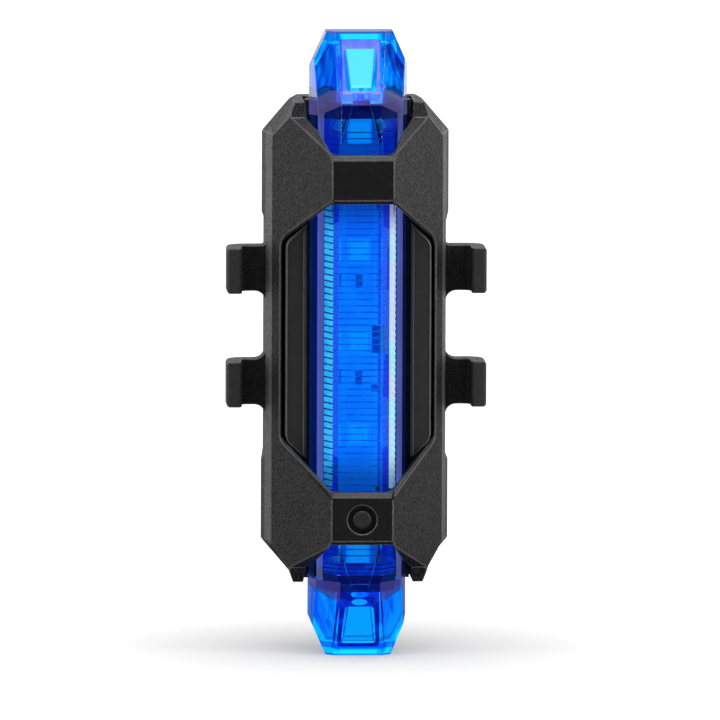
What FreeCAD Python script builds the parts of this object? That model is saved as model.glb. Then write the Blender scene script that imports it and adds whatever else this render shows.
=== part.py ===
import FreeCAD, Part
import os
import Sketcher

# Bicycle tail light, strapped to a seat post.
# X runs across the light, Y runs from the lamp side (minus) to the seat post (plus), Z is up.
# All pieces are drawn about the middle of the light's height and then raised, so that the
# light stands on its lower lens tip at Z = 0.  Lengths are millimetres.

Vector = FreeCAD.Vector
doc = FreeCAD.newDocument("tail_light")
sheet = doc.addObject("Spreadsheet::Sheet", "Sizes")

# Sizes that are set by hand: name, value, what it measures
SIZES = [
    # whole light
    ("lens_top", 37.0, "half of the whole height, to the lens tips"),
    ("front_reach", 17.2, "band face ahead of the widest plane"),
    ("rear_reach", 5.2, "cover rim behind the widest plane"),
    ("split_step", 1.6, "parting plane ahead of the widest plane"),
    # front frame
    ("window_half", 9.0, "half width of the middle window"),
    ("wing_strip", 1.07, "frame beside the window, at the wing tips"),
    ("side_lean", 0.98, "widest plane outside the wing tips"),
    ("wing_step", 5.1, "wing tips ahead of the widest plane"),
    ("band_half", 3.65, "half width of the flat band faces"),
    ("band_bevel", 0.5, "bevel along the band edges"),
    ("band_thick", 1.5, "thickness of the bands"),
    ("frame_top", 28.5, "half height of the frame"),
    ("corner_drop", 4.25, "height of the cut corners"),
    ("corner_run", 3.2, "width of the cut corners"),
    ("corner_nip", 0.5, "height of the small cut above the corner"),
    ("nip_run", 0.9, "width of the small cut above the corner"),
    ("tab_drop", 1.85, "height of the sloping end tabs"),
    ("tab_corner_in", 1.75, "wing corner at the tab crease, inside the wing tips"),
    ("tab_end_in", 2.4, "tab ends inside the wing tips"),
    ("tab_back", 0.7, "how far the end tabs lean back"),
    ("upper_band_top", 23.05, "upper edge of the upper band"),
    ("upper_band_low", 17.25, "lower edge of the upper band"),
    ("lower_band_top", -16.83, "upper edge of the lower band"),
    ("lower_band_low", -23.05, "lower edge of the lower band"),
    ("crease_step", 8.9, "tab crease ahead of the widest plane"),
    ("notch_mid_gap", 0.74, "end notch beside the slanted facets, at the tab crease"),
    ("notch_step", 0.1, "mouth of the end notch inside the channel"),
    ("upper_round", 2.0, "radius of the window's upper corners"),
    ("lower_round", 1.0, "radius of the window's lower corners"),
    ("channel_gap", 0.64, "channel beside the lens"),
    ("lens_gap", 0.4, "clearance round the lens"),
    ("grip_depth", 0.4, "depth of the shallow side recess"),
    ("grip_top", 14.6, "upper end of the side recess"),
    ("grip_low", -14.9, "lower end of the side recess"),
    ("grip_ramp", 1.0, "height of the slope at each end of the recess"),
    # strap hooks
    ("hook_out", 4.3, "hooks beyond the sides"),
    ("hook_lip", 1.8, "width of the hook lips"),
    ("hook_rise", 3.1, "lips ahead of the hook arms"),
    ("hook_thick", 2.3, "thickness of the hook arms"),
    ("hook_back", 2.2, "radius of the hooks' outer rear corners"),
    ("hook_top_high", 10.7, "upper hook, upper face"),
    ("hook_top_low", 5.3, "upper hook, lower face"),
    ("hook_low_high", -2.8, "lower hook, upper face"),
    ("hook_low_low", -8.2, "lower hook, lower face"),
    ("hook_root", 1.3, "radius where the arms meet the side"),
    ("hook_top_root", 0.5, "the same above the upper arms"),
    ("hook_throat", 0.9, "radius inside the lip"),
    ("hook_edge", 0.4, "radius of the hook corners"),
    # lens
    ("lens_front_half", 2.35, "half width of the lens's front facet"),
    ("lens_front_step", 13.3, "front facet ahead of the widest plane"),
    ("lens_bevel_half", 5.0, "half width where the slanted facets end"),
    ("lens_bevel_step", 10.7, "end of the slanted facets ahead of the widest plane"),
    ("lens_side_half", 5.8, "half width of the lens at its rear"),
    ("lens_rear_step", 5.35, "lens rear ahead of the widest plane"),
    ("lens_wall", 1.1, "wall of the lens"),
    ("lens_back_wall", 0.9, "rear wall of the lens tips"),
    ("end_slope_top", 29.0, "height where the front facet starts to slope"),
    ("tip_front_step", 10.0, "front edge of the tips ahead of the widest plane"),
    ("tip_front_half", 3.0, "half width of the tips' front edge"),
    ("tip_half", 3.87, "half width of the tips"),
    ("tip_taper", 4.4, "height of the side taper at the tips"),
    ("tip_lean", 0.2, "upper tip lower at its rear"),
    ("tip_wall", 1.8, "wall of the lens at the tips"),
    ("facet_drop", 1.74, "slanted end facets start this much lower"),
    ("lens_open_gap", 0.1, "opening in the lens's back beyond the end walls"),
    # inner housing
    ("gasket_thick", 0.35, "gasket under the lens rim"),
    ("gasket_wide", 0.75, "width of the gasket's long strips"),
    ("gasket_end", 0.5, "width of the gasket's end strips"),
    ("plate_thick", 1.2, "thickness of the housing's floor"),
    ("plate_step", 0.66, "housing wider than the channel, each side"),
    ("rail_wide", 1.2, "width of the housing's side rails"),
    ("plate_gap", 0.1, "clearance of the housing in the frame"),
    ("ear_step", 0.5, "housing inside the window's sides"),
    ("ear_top", 18.2, "half height of the housing's wide part"),
    ("shoulder_step", 7.9, "shoulder panels ahead of the widest plane"),
    ("shoulder_gap", 0.42, "groove between the shoulders and the window"),
    ("shoulder_lens_gap", 0.35, "shoulders beside the lens"),
    ("ridge_wide", 0.35, "width of the ridge beside the lens"),
    ("ridge_rise", 0.7, "ridge ahead of the shoulder panels"),
    ("neck_top", 26.4, "half height of the housing's full width"),
    ("blind_thick", 0.8, "thickness of the black end walls in the lens"),
    ("blind_gap", 0.4, "end walls beyond the lamp board"),
    ("blind_rise", 3.6, "end walls ahead of the housing's floor"),
    # lamp board
    ("board_thick", 1.0, "thickness of the lamp board"),
    ("board_gap", 0.6, "lamp board inside the lens"),
    ("board_lift", 2.0, "lamp board ahead of the housing's floor"),
    ("rib_wide", 1.0, "width of the ribs under the lamp board"),
    ("board_margin", 0.15, "lamp board beyond the outer lamp chips"),
    ("led_wide", 2.8, "width of a lamp chip"),
    ("led_tall", 2.9, "height of a lamp chip"),
    ("led_thick", 0.8, "thickness of a lamp chip"),
    ("led_pitch", 10.8, "spacing of the inner lamp chips"),
    ("led_far", 25.0, "height of the outer lamp chips"),
    ("chip_thick", 0.5, "thickness of the small parts"),
    # button and switch
    ("button_shift", 0.06, "button below the middle of the lower band"),
    ("button_half", 1.1, "radius of the button's face"),
    ("button_hole", 1.7, "radius of the hole round the button"),
    ("button_inset", 0.05, "button face below the band face"),
    ("button_neck", 1.0, "depth of the narrow hole"),
    ("flange_half", 2.2, "radius of the button's flange"),
    ("flange_thick", 0.7, "thickness of the button's flange"),
    ("flange_gap", 0.08, "running clearance round the flange"),
    ("stem_half", 0.7, "radius of the button's stem"),
    ("stem_gap", 0.06, "running clearance round the stem"),
    ("button_crown", 0.3, "rounding of the button's face"),
    ("seal_half", 1.5, "outer radius of the stem seal"),
    ("seal_room", 0.45, "room for the flange ahead of the stem seal"),
    ("switch_wide", 3.6, "width of the switch"),
    ("switch_thick", 1.8, "thickness of the switch"),
    ("plunger_half", 0.8, "radius of the switch plunger"),
    ("plunger_gap", 0.06, "running clearance round the plunger"),
    ("plunger_out", 0.8, "plunger ahead of the switch"),
    ("plunger_in", 0.8, "plunger inside the switch"),
    ("plunger_room", 0.6, "free room behind the plunger"),
    # battery
    ("battery_half", 4.6, "half width of the battery"),
    ("battery_top", 24.0, "upper end of the battery"),
    ("battery_low", -14.0, "lower end of the battery"),
    ("battery_thick", 2.7, "thickness of the battery"),
    ("tape_thick", 0.3, "foam tape under the battery"),
    ("tape_margin", 1.0, "tape inside the battery's outline"),
    ("lead_half", 0.35, "radius of the battery leads"),
    ("lead_spread", 1.5, "leads each side of the middle"),
    ("lead_long", 4.0, "length of the battery leads"),
    # charging board and socket
    ("charge_thick", 0.8, "thickness of the charging board"),
    ("charge_half", 5.0, "half width of the charging board"),
    ("charge_top", -16.5, "upper edge of the charging board"),
    ("charge_low", -25.5, "lower edge of the charging board"),
    ("socket_high", -21.2, "height of the charging socket"),
    ("socket_wide", 7.6, "width of the socket"),
    ("socket_tall", 2.8, "height of the socket"),
    ("socket_long", 2.9, "depth of the socket"),
    ("socket_wall", 0.3, "wall of the socket"),
    ("tongue_wide", 4.8, "width of the contact tongue"),
    ("tongue_tall", 0.6, "thickness of the contact tongue"),
    ("tongue_short", 1.5, "tongue end behind the socket mouth"),
    ("pin_half", 0.3, "radius of the board pins"),
    ("pin_hole_gap", 0.05, "clearance round the board pins"),
    ("pin_spread", 3.0, "middle of the pins each side"),
    ("pin_pitch", 1.27, "spacing of the pins"),
    ("pin_high", -17.3, "height of the pins"),
    ("pin_proud", 0.4, "pins beyond the boards"),
    # rear cover
    ("cover_wall", 1.2, "wall of the cover behind the battery"),
    ("cavity_half", 6.4, "half width of the cover's hollow"),
    ("cavity_top", 26.0, "half height of the cover's hollow"),
    ("post_half", 13.6, "radius of the seat post"),
    ("post_sink", 3.58, "post inside the cover's rim plane"),
    ("pad_thick", 1.0, "thickness of the rubber pad"),
    ("pad_half", 7.4, "half width of the rubber pad"),
    ("pad_top", 24.5, "upper end of the rubber pad"),
    ("pad_low", -15.0, "lower end of the rubber pad"),
    ("cover_draft", 0.55, "cover drawn in towards its rear, each side"),
    ("cover_edge", 0.35, "bevel of the cover's rear edges"),
    ("lip_gap", 0.1, "clearance of the cover's end lips"),
    ("lip_thick", 1.3, "thickness of the cover's end lips"),
    # port cover
    ("flap_half", 5.0, "half width of the port cover"),
    ("flap_top", -18.0, "upper edge of the port cover"),
    ("flap_low", -24.4, "lower edge of the port cover"),
    ("flap_thick", 0.95, "thickness of the port cover"),
    ("flap_gap", 0.15, "clearance round the port cover"),
    ("recess_skin", 0.7, "cover wall left under the port cover"),
    ("plug_gap", 0.35, "plug inside the socket's opening"),
    ("plug_long", 0.9, "depth of the plug"),
    ("anchor_tall", 1.3, "height of the port cover's anchor"),
    ("hinge_gap", 0.1, "slit between port cover and anchor"),
    ("tab_half", 1.6, "half width of the port cover's finger tab"),
    # screws
    ("screw_edge", 2.15, "screws inside the sides"),
    ("screw_high", 21.8, "screws above and below the middle"),
    ("screw_half", 0.8, "radius of the screw shanks"),
    ("screw_gap", 0.05, "clearance round the shanks"),
    ("head_half", 1.35, "radius of the screw heads"),
    ("head_thick", 0.9, "thickness of the screw heads"),
    ("head_gap", 0.15, "clearance round the heads"),
    ("screw_seat", 3.4, "screw seats behind the parting plane"),
    ("screw_bite", 2.6, "screw length in the frame"),
    ("drive_half", 0.75, "half length of the cross slots"),
    ("drive_wide", 0.3, "width of the cross slots"),
    ("drive_deep", 0.45, "depth of the cross slots"),
]

# Sizes that follow from the others: name, formula, what it is
FOLLOWING = [
    ("wing_half", "window_half + wing_strip", "half width at the wing tips"),
    ("side_half", "wing_half + side_lean", "half width at the widest plane"),
    ("hook_reach", "side_half + hook_out", "half width over the hooks"),
    ("channel_half", "lens_side_half + channel_gap", "half width of the lens channel"),
    ("notch_mid_half", "lens_bevel_half + notch_mid_gap", "half width of the notch at the crease"),
    ("notch_end_half", "channel_half - notch_step", "half width of the notch at its mouth"),
    ("plate_half", "channel_half + plate_step", "half width of the housing"),
    ("ear_half", "window_half - ear_step", "half width of the housing behind the window"),
    ("shoulder_in", "lens_side_half + shoulder_lens_gap", "inner edge of the shoulders"),
    ("board_top", "led_far + led_tall / 2 + board_margin", "half height of the lamp board"),
    ("blind_top", "board_top + blind_gap + blind_thick", "half height over the end walls"),
    ("lens_open_top", "blind_top + lens_open_gap", "half height of the lens's rear opening"),
    ("plate_top", "lens_open_top + gasket_end", "half height of the housing"),
    ("rail_in", "plate_half - rail_wide", "inner face of the housing's rails"),
    ("button_high", "(lower_band_top + lower_band_low) / 2 - button_shift", "height of the button"),
    ("screw_side", "side_half - screw_edge", "screws each side of the middle"),
    ("wide_y", "(front_reach - rear_reach) / 2", "widest plane"),
    ("band_y", "wide_y - front_reach", "band faces"),
    ("rear_y", "wide_y + rear_reach", "cover rim"),
    ("split_y", "wide_y - split_step", "parting plane"),
    ("wing_y", "wide_y - wing_step", "wing tips"),
    ("side_draft", "(side_half - wing_half) / wing_step", "lean of the side walls"),
    ("split_half", "side_half - side_draft * split_step", "half width at the parting plane"),
    ("corner_x", "side_half - corner_run", "cut corner, upper end"),
    ("corner_z", "frame_top - corner_drop", "cut corner, lower end"),
    ("nip_x", "corner_x - nip_run", "small cut, upper end"),
    ("nip_z", "frame_top - corner_nip", "small cut, lower end"),
    ("tab_z", "frame_top - tab_drop", "crease of the end tabs"),
    ("lens_y", "wide_y - lens_front_step", "lens front facet"),
    ("lens_bevel_y", "wide_y - lens_bevel_step", "end of the slanted facets"),
    ("lens_rear_y", "wide_y - lens_rear_step", "lens rear"),
    ("tip_y", "wide_y - tip_front_step", "front edge of the tips"),
    ("floor_y", "lens_rear_y + gasket_thick", "front of the housing's floor"),
    ("plate_rear_y", "floor_y + plate_thick", "rear of the housing's floor"),
    ("shoulder_y", "wide_y - shoulder_step", "shoulder panels"),
    ("board_rear_y", "floor_y - board_lift", "rear of the lamp board"),
    ("board_y", "board_rear_y - board_thick", "front of the lamp board"),
    ("inner_front_half", "lens_front_half - lens_wall * 0.05", "inside of the front facet"),
    ("inner_bevel_half", "lens_bevel_half - lens_wall * 0.95", "inside of the slanted facets"),
    ("inner_side_half", "lens_side_half - lens_wall", "inside of the lens sides"),
    ("board_half", "inner_side_half - board_gap", "half width of the lamp board"),
    ("switch_y", "board_y - switch_thick", "front of the switch"),
    ("plunger_y", "switch_y - plunger_out", "front of the switch plunger"),
    ("flange_y", "band_y + button_neck", "front of the button's flange"),
    ("channel_y", "band_y + band_thick", "inner face of the bands"),
    ("seal_y", "flange_y + flange_thick + seal_room", "front of the stem seal"),
    ("saddle_y", "rear_y - post_sink + post_half", "axis of the seat post"),
    ("cover_round", "post_half + pad_thick", "radius of the cover's hollow back"),
    ("cavity_round", "cover_round + cover_wall", "radius of the cavity's back"),
    ("charge_y", "plate_rear_y + charge_thick", "rear of the charging board"),
    ("mouth_y", "charge_y + socket_long", "mouth of the socket"),
    ("recess_y", "saddle_y - cavity_round + recess_skin", "floor of the port cover's recess"),
    ("flap_y", "recess_y + flap_thick", "rear face of the port cover"),
    ("plug_half", "socket_wide / 2 - socket_wall - plug_gap", "half width of the plug"),
    ("plug_tall", "socket_tall - 2 * socket_wall - 2 * plug_gap", "height of the plug"),
    ("screw_y", "split_y + screw_seat", "seat of the screw heads"),
    ("tape_y", "plate_rear_y + tape_thick", "front of the battery"),
    ("battery_y", "tape_y + battery_thick", "rear of the battery"),
]

for row, (alias, value, words) in enumerate(SIZES, start=1):
    sheet.set(f"A{row}", words)
    sheet.set(f"B{row}", str(value))
    sheet.setAlias(f"B{row}", alias)
for row, (alias, formula, words) in enumerate(FOLLOWING, start=len(SIZES) + 1):
    sheet.set(f"A{row}", words)
    sheet.set(f"B{row}", "=" + formula)
    sheet.setAlias(f"B{row}", alias)
doc.recompute()

NAMES = sorted([line[0] for line in SIZES + FOLLOWING], key=len, reverse=True)
LETTERS = "abcdefghijklmnopqrstuvwxyz_"


def bound(text):
    """The same formula with every size name pointing at the sheet."""
    result, word = "", ""
    for letter in str(text) + " ":
        if letter in LETTERS:
            word += letter
            continue
        result += ("Sizes." + word) if word in NAMES else word
        word = ""
        result += letter
    return result.strip()


def value(text):
    """Number that a formula of size names gives now."""
    return float(sheet.evalExpression(str(text)))


def minus(text):
    """The formula with its sign changed."""
    return f"-({text})"


def both_sides(half):
    """Closed outline from its right-hand points, mirrored to the left."""
    return list(half) + [(minus(across), along) for across, along in reversed(half)]


# Turn of a flat outline so that its own two directions lie along the named axes
PLANES = {
    "XY": (FreeCAD.Rotation(), "z"),
    "XZ": (FreeCAD.Rotation(Vector(1, 0, 0), 90), "y"),
    "YZ": (FreeCAD.Rotation(0.5, 0.5, 0.5, 0.5), "x"),
}


def outline(name, plane, points, at):
    """Straight-sided closed sketch whose corners are bound to the sheet."""
    turn, axis = PLANES[plane]
    sketch = doc.addObject("Sketcher::SketchObject", name)
    places = [(value(across), value(along)) for across, along in points]
    count = len(places)
    lines = []
    for index in range(count):
        start = Vector(*places[index], 0)
        end = Vector(*places[(index + 1) % count], 0)
        lines.append(Part.LineSegment(start, end))
    sketch.addGeometry(lines, False)
    for index in range(count):
        sketch.addConstraint(Sketcher.Constraint("Coincident", index, 2, (index + 1) % count, 1))
    for index, (across, along) in enumerate(points):
        for kind, text, now in (("DistanceX", across, places[index][0]),
                                ("DistanceY", along, places[index][1])):
            number = sketch.addConstraint(Sketcher.Constraint(kind, -1, 1, index, 1, now))
            sketch.setExpression(f"Constraints[{number}]", bound(text))
    sketch.Placement = FreeCAD.Placement(Vector(), turn)
    sketch.setExpression(f"Placement.Base.{axis}", bound(at))
    return sketch


def prism(name, plane, points, low, high):
    """Outline carried straight from the low to the high place on its own normal."""
    start = high if plane == "XZ" else low
    solid = doc.addObject("Part::Extrusion", name)
    solid.Base = outline(name + "_outline", plane, points, start)
    solid.DirMode = "Normal"
    solid.Solid = True
    solid.setExpression("LengthFwd", bound(f"({high}) - ({low})"))
    return solid


def loft(name, plane, sections):
    """Flat-faced solid through outlines with equal corner counts."""
    solid = doc.addObject("Part::Loft", name)
    solid.Sections = [outline(f"{name}_{number}", plane, points, at)
                      for number, (at, points) in enumerate(sections)]
    solid.Solid = True
    solid.Ruled = True
    return solid


def block(name, x_range, y_range, z_range):
    """Box between named places."""
    solid = doc.addObject("Part::Box", name)
    for side, axis, (low, high) in zip(("Length", "Width", "Height"), "xyz",
                                       (x_range, y_range, z_range)):
        solid.setExpression(side, bound(f"({high}) - ({low})"))
        solid.setExpression(f"Placement.Base.{axis}", bound(low))
    return solid


def wide(half):
    """Range that reaches the same distance each side of the middle."""
    return (minus(half), half)


def rod(name, radius, x_place, z_place, y_range):
    """Round bar along Y."""
    solid = doc.addObject("Part::Cylinder", name)
    solid.Placement = FreeCAD.Placement(Vector(), FreeCAD.Rotation(Vector(1, 0, 0), -90))
    solid.setExpression("Radius", bound(radius))
    solid.setExpression("Height", bound(f"({y_range[1]}) - ({y_range[0]})"))
    for axis, place in zip("xyz", (x_place, y_range[0], z_place)):
        solid.setExpression(f"Placement.Base.{axis}", bound(place))
    return solid


def post(name, radius, low, high):
    """Upright round bar on the seat post's axis."""
    solid = doc.addObject("Part::Cylinder", name)
    solid.setExpression("Radius", bound(radius))
    solid.setExpression("Height", bound(f"({high}) - ({low})"))
    solid.setExpression("Placement.Base.y", bound("saddle_y"))
    solid.setExpression("Placement.Base.z", bound(low))
    return solid


def fuse(name, pieces):
    """One solid from several that touch."""
    solid = doc.addObject("Part::MultiFuse", name)
    solid.Shapes = pieces
    solid.Refine = True
    return solid


def common(name, pieces):
    """What several solids share."""
    solid = doc.addObject("Part::MultiCommon", name)
    solid.Shapes = pieces
    solid.Refine = True
    return solid


def cut(name, base, tools):
    """Base with the tools taken away."""
    solid = doc.addObject("Part::Cut", name)
    solid.Base = base
    solid.Tool = tools[0] if len(tools) == 1 else fuse(name + "_tools", tools)
    solid.Refine = True
    return solid


def group(name, pieces):
    """Separate solids kept in one sub-part."""
    solid = doc.addObject("Part::Compound", name)
    solid.Links = pieces
    return solid


def edges_along(shape, axis, places, reach=0.05):
    """Numbers of the straight edges along an axis through the given places."""
    others = [index for index in range(3) if index != "xyz".index(axis)]
    found = []
    for number, edge in enumerate(shape.Edges, start=1):
        if len(edge.Vertexes) != 2:
            continue
        ends = [vertex.Point for vertex in edge.Vertexes]
        if any(abs(ends[0][index] - ends[1][index]) > 1e-4 for index in others):
            continue
        for place in places:
            if all(abs(ends[0][index] - here) < reach for index, here in zip(others, place)):
                found.append(number)
    return found


def rounded(name, base, axis, places, radius):
    """Base with the edges along one axis at the given places rounded."""
    doc.recompute()
    solid = doc.addObject("Part::Fillet", name)
    solid.Base = base
    size = value(radius)
    numbers = edges_along(base.Shape, axis, [(value(a), value(b)) for a, b in places])
    solid.Edges = [(number, size, size) for number in numbers]
    return solid


# Outline of frame and cover seen from the front, at the widest plane and at the wing tips
WIDE_OUTLINE = both_sides([
    ("nip_x", "-frame_top"), ("corner_x", "-nip_z"), ("side_half", "-corner_z"),
    ("side_half", "corner_z"), ("corner_x", "nip_z"), ("nip_x", "frame_top")])
WING_OUTLINE = both_sides([
    ("wing_half - tab_end_in", "-frame_top"), ("wing_half - tab_corner_in", "-tab_z"),
    ("wing_half", "-corner_z"), ("wing_half", "corner_z"),
    ("wing_half - tab_corner_in", "tab_z"), ("wing_half - tab_end_in", "frame_top")])


# Front frame
def window_outline(gap):
    """Eight-sided middle window, drawn in by a gap."""
    slope = "(upper_band_low - window_half + band_half)"
    slope_low = "(lower_band_top + window_half - band_half)"
    return [
        (f"band_half - {gap} * 0.414", f"upper_band_low - {gap}"),
        (f"-band_half + {gap} * 0.414", f"upper_band_low - {gap}"),
        (f"-window_half + {gap}", f"{slope} - {gap} * 0.414"),
        (f"-window_half + {gap}", f"{slope_low} + {gap} * 0.414"),
        (f"-band_half + {gap} * 0.414", f"lower_band_top + {gap}"),
        (f"band_half - {gap} * 0.414", f"lower_band_top + {gap}"),
        (f"window_half - {gap}", f"{slope_low} + {gap} * 0.414"),
        (f"window_half - {gap}", f"{slope} - {gap} * 0.414"),
    ]


def make_window(name, gap, low, high):
    """Window prism with its four side corners rounded."""
    straight = prism(name + "_straight", "XZ", window_outline(gap), low, high)
    slope = f"upper_band_low - window_half + band_half - {gap} * 0.414"
    slope_low = f"lower_band_top + window_half - band_half + {gap} * 0.414"
    side = f"window_half - {gap}"
    upper = rounded(name + "_upper", straight, "y", [(side, slope), (minus(side), slope)],
                    f"upper_round - {gap}")
    return rounded(name, upper, "y", [(side, slope_low), (minus(side), slope_low)],
                   f"lower_round - {gap} / 2")


def end_cuts(name, sign, band_edge):
    """Notch, ramps and leaning tabs at one end of the frame; sign picks the end."""
    notch = prism(f"{name}_notch", "XZ", both_sides([
        ("band_half", band_edge), ("notch_mid_half", f"{sign}tab_z"),
        ("notch_end_half", f"{sign}frame_top"), ("notch_end_half", f"{sign}(frame_top + 2)")]),
        "band_y - 1", "split_y + 1")
    crease = "wide_y - crease_step"
    ramp = prism(f"{name}_ramp", "YZ", [
        ("band_y", band_edge), (crease, f"{sign}tab_z"),
        (f"{crease} + tab_back", f"{sign}(frame_top + 0.5)"),
        ("band_y - 1", f"{sign}(frame_top + 0.5)"), ("band_y - 1", band_edge)],
        "-side_half", "side_half")
    bevel = prism(f"{name}_bevel", "YZ", [
        ("band_y + band_bevel", band_edge), ("band_y - 1", band_edge),
        ("band_y - 1", f"{band_edge} - {sign}(band_bevel + 1)")],
        "-band_half - band_bevel", "band_half + band_bevel")
    return [notch, ramp, bevel]


def make_front_frame():
    """Frame with two crossing bands, wings, middle window and end notches."""
    ends = loft("frame_ends", "XZ", [
        ("split_y", [(f"({a}) * split_half / side_half", b) for a, b in WIDE_OUTLINE]),
        ("wing_y", WING_OUTLINE), ("band_y - 0.5", WING_OUTLINE)])
    plan = prism("frame_plan", "XY", both_sides([
        ("band_half", "band_y"), ("wing_half", "wing_y"), ("side_half + side_draft", "wide_y + 1"),
        ("side_half + side_draft", "rear_y")]), "-frame_top", "frame_top")
    body = common("frame_body", [ends, plan])
    channel = prism("frame_channel", "XY", both_sides([
        ("lens_front_half + lens_gap * 0.414", "channel_y"),
        ("channel_half - 1.0", "lens_bevel_y - lens_gap * 0.414"),
        ("channel_half", "lens_bevel_y + 2.5"), ("channel_half", "split_y + 1")]),
        "-frame_top - 1", "frame_top + 1")
    pocket = prism("frame_pocket", "XZ", both_sides([
        ("plate_half + plate_gap", "-neck_top - plate_gap"),
        ("plate_half + plate_gap", "-ear_top - plate_gap"),
        ("ear_half + plate_gap", "-ear_top - plate_gap + 1.5"),
        ("ear_half + plate_gap", "ear_top + plate_gap - 1.5"),
        ("plate_half + plate_gap", "ear_top + plate_gap"),
        ("plate_half + plate_gap", "neck_top + plate_gap")]), "floor_y", "split_y + 1")
    window = make_window("frame_window", "0", "band_y - 1", "split_y + 1")
    button_bore = rod("frame_button_bore", "button_hole", "0", "button_high",
                      ("band_y - 1", "channel_y + 1"))
    flange_bore = rod("frame_flange_bore", "flange_half + flange_gap", "0", "button_high",
                      ("flange_y", "channel_y + 1"))
    tools = [channel, pocket, window, button_bore, flange_bore]
    tools += end_cuts("frame_upper", "", "upper_band_top")
    tools += end_cuts("frame_lower", "-", "lower_band_low")
    tools += grip_cuts("frame")
    for index, (side, end) in enumerate(SCREW_PLACES):
        tools.append(rod(f"frame_screw_hole_{index}", "screw_half + screw_gap", side, end,
                         ("split_y - screw_bite - 0.4", "split_y + 1")))
    return bevelled("front_frame", cut("frame_cut", body, tools), "band_bevel")


def on_front(point):
    """Whether a point lies on the band faces or on the wings."""
    slope = (value("wing_y") - value("band_y")) / (value("wing_half") - value("band_half"))
    depth = value("band_y") + max(0, abs(point.x) - value("band_half")) * slope
    return abs(point.y - depth) < 1e-3


def bevelled(name, base, size):
    """Base with a bevel round the front edges of the window."""
    doc.recompute()
    numbers = []
    for number, edge in enumerate(base.Shape.Edges, start=1):
        ends = [edge.valueAt(edge.FirstParameter), edge.valueAt(edge.LastParameter)]
        middle = edge.valueAt((edge.FirstParameter + edge.LastParameter) / 2)
        inside = (abs(middle.x) < value("window_half") + 1e-3
                  and value("lower_band_top") - 1e-3 < middle.z < value("upper_band_low") + 1e-3)
        if inside and all(on_front(point) for point in ends + [middle]):
            numbers.append(number)
    solid = doc.addObject("Part::Chamfer", name)
    solid.Base = base
    solid.Edges = [(number, value(size), value(size)) for number in numbers]
    return solid


SCREW_PLACES = [(f"{side}screw_side", f"{end}screw_high") for side in ("", "-") for end in ("", "-")]


def grip_cuts(name):
    """Shallow recess down each side."""
    tools = []
    for label, sign in (("right", ""), ("left", "-")):
        tools.append(prism(f"{name}_grip_{label}", "XZ", [
            (f"{sign}(side_half + 1)", "grip_top"), (f"{sign}side_half", "grip_top"),
            (f"{sign}(side_half - grip_depth)", "grip_top - grip_ramp"),
            (f"{sign}(side_half - grip_depth)", "grip_low + grip_ramp"),
            (f"{sign}side_half", "grip_low"), (f"{sign}(side_half + 1)", "grip_low")],
            "band_y", "rear_y + 1"))
    return tools


# Rear cover with its four strap hooks
def make_hook(name, sign, low, high, top_root):
    """Arm with a lip for the rubber strap, rounded where it leaves the side."""
    root = f"{sign}(side_half - grip_depth)"
    tip = f"{sign}hook_reach"
    plan = prism(name + "_plan", "XY", [
        (f"{sign}(side_half - 2)", "split_y"), (f"{sign}(hook_reach - hook_lip)", "split_y"),
        (f"{sign}(hook_reach - hook_lip)", "split_y - hook_rise"), (tip, "split_y - hook_rise"),
        (tip, "split_y + hook_thick"), (f"{sign}(side_half - 2)", "split_y + hook_thick")],
        f"{low} - 3", f"{high} + 3")
    throat = rounded(name + "_throat", plan, "z",
                     [(f"{sign}(hook_reach - hook_lip)", "split_y")], "hook_throat")
    back = rounded(name + "_back", throat, "z", [(tip, "split_y + hook_thick")], "hook_back")
    edges = rounded(name + "_edges", back, "z", [
        (tip, "split_y - hook_rise"), (f"{sign}(hook_reach - hook_lip)", "split_y - hook_rise")],
        "hook_edge")
    side = prism(name + "_side", "XZ", [
        (f"{sign}(side_half - 2)", f"{low} - hook_root - 0.5"), (root, f"{low} - hook_root - 0.5"),
        (root, low), (tip, low), (tip, high), (root, high),
        (root, f"{high} + hook_root + 0.5"), (f"{sign}(side_half - 2)", f"{high} + hook_root + 0.5")],
        "split_y - hook_rise - 1", "split_y + hook_thick + 1")
    low_root = rounded(name + "_low_root", side, "y", [(root, low)], "hook_root")
    high_root = rounded(name + "_high_root", low_root, "y", [(root, high)], top_root)
    tips = rounded(name + "_tips", high_root, "y", [(tip, low), (tip, high)], "hook_edge")
    return common(name, [edges, tips])


def drawn_in(step):
    """Outline at the widest plane, made smaller by the same step all round."""
    return [(f"({a}) * (side_half - {step}) / side_half", f"({b}) * (frame_top - {step}) / frame_top")
            for a, b in WIDE_OUTLINE]


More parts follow.
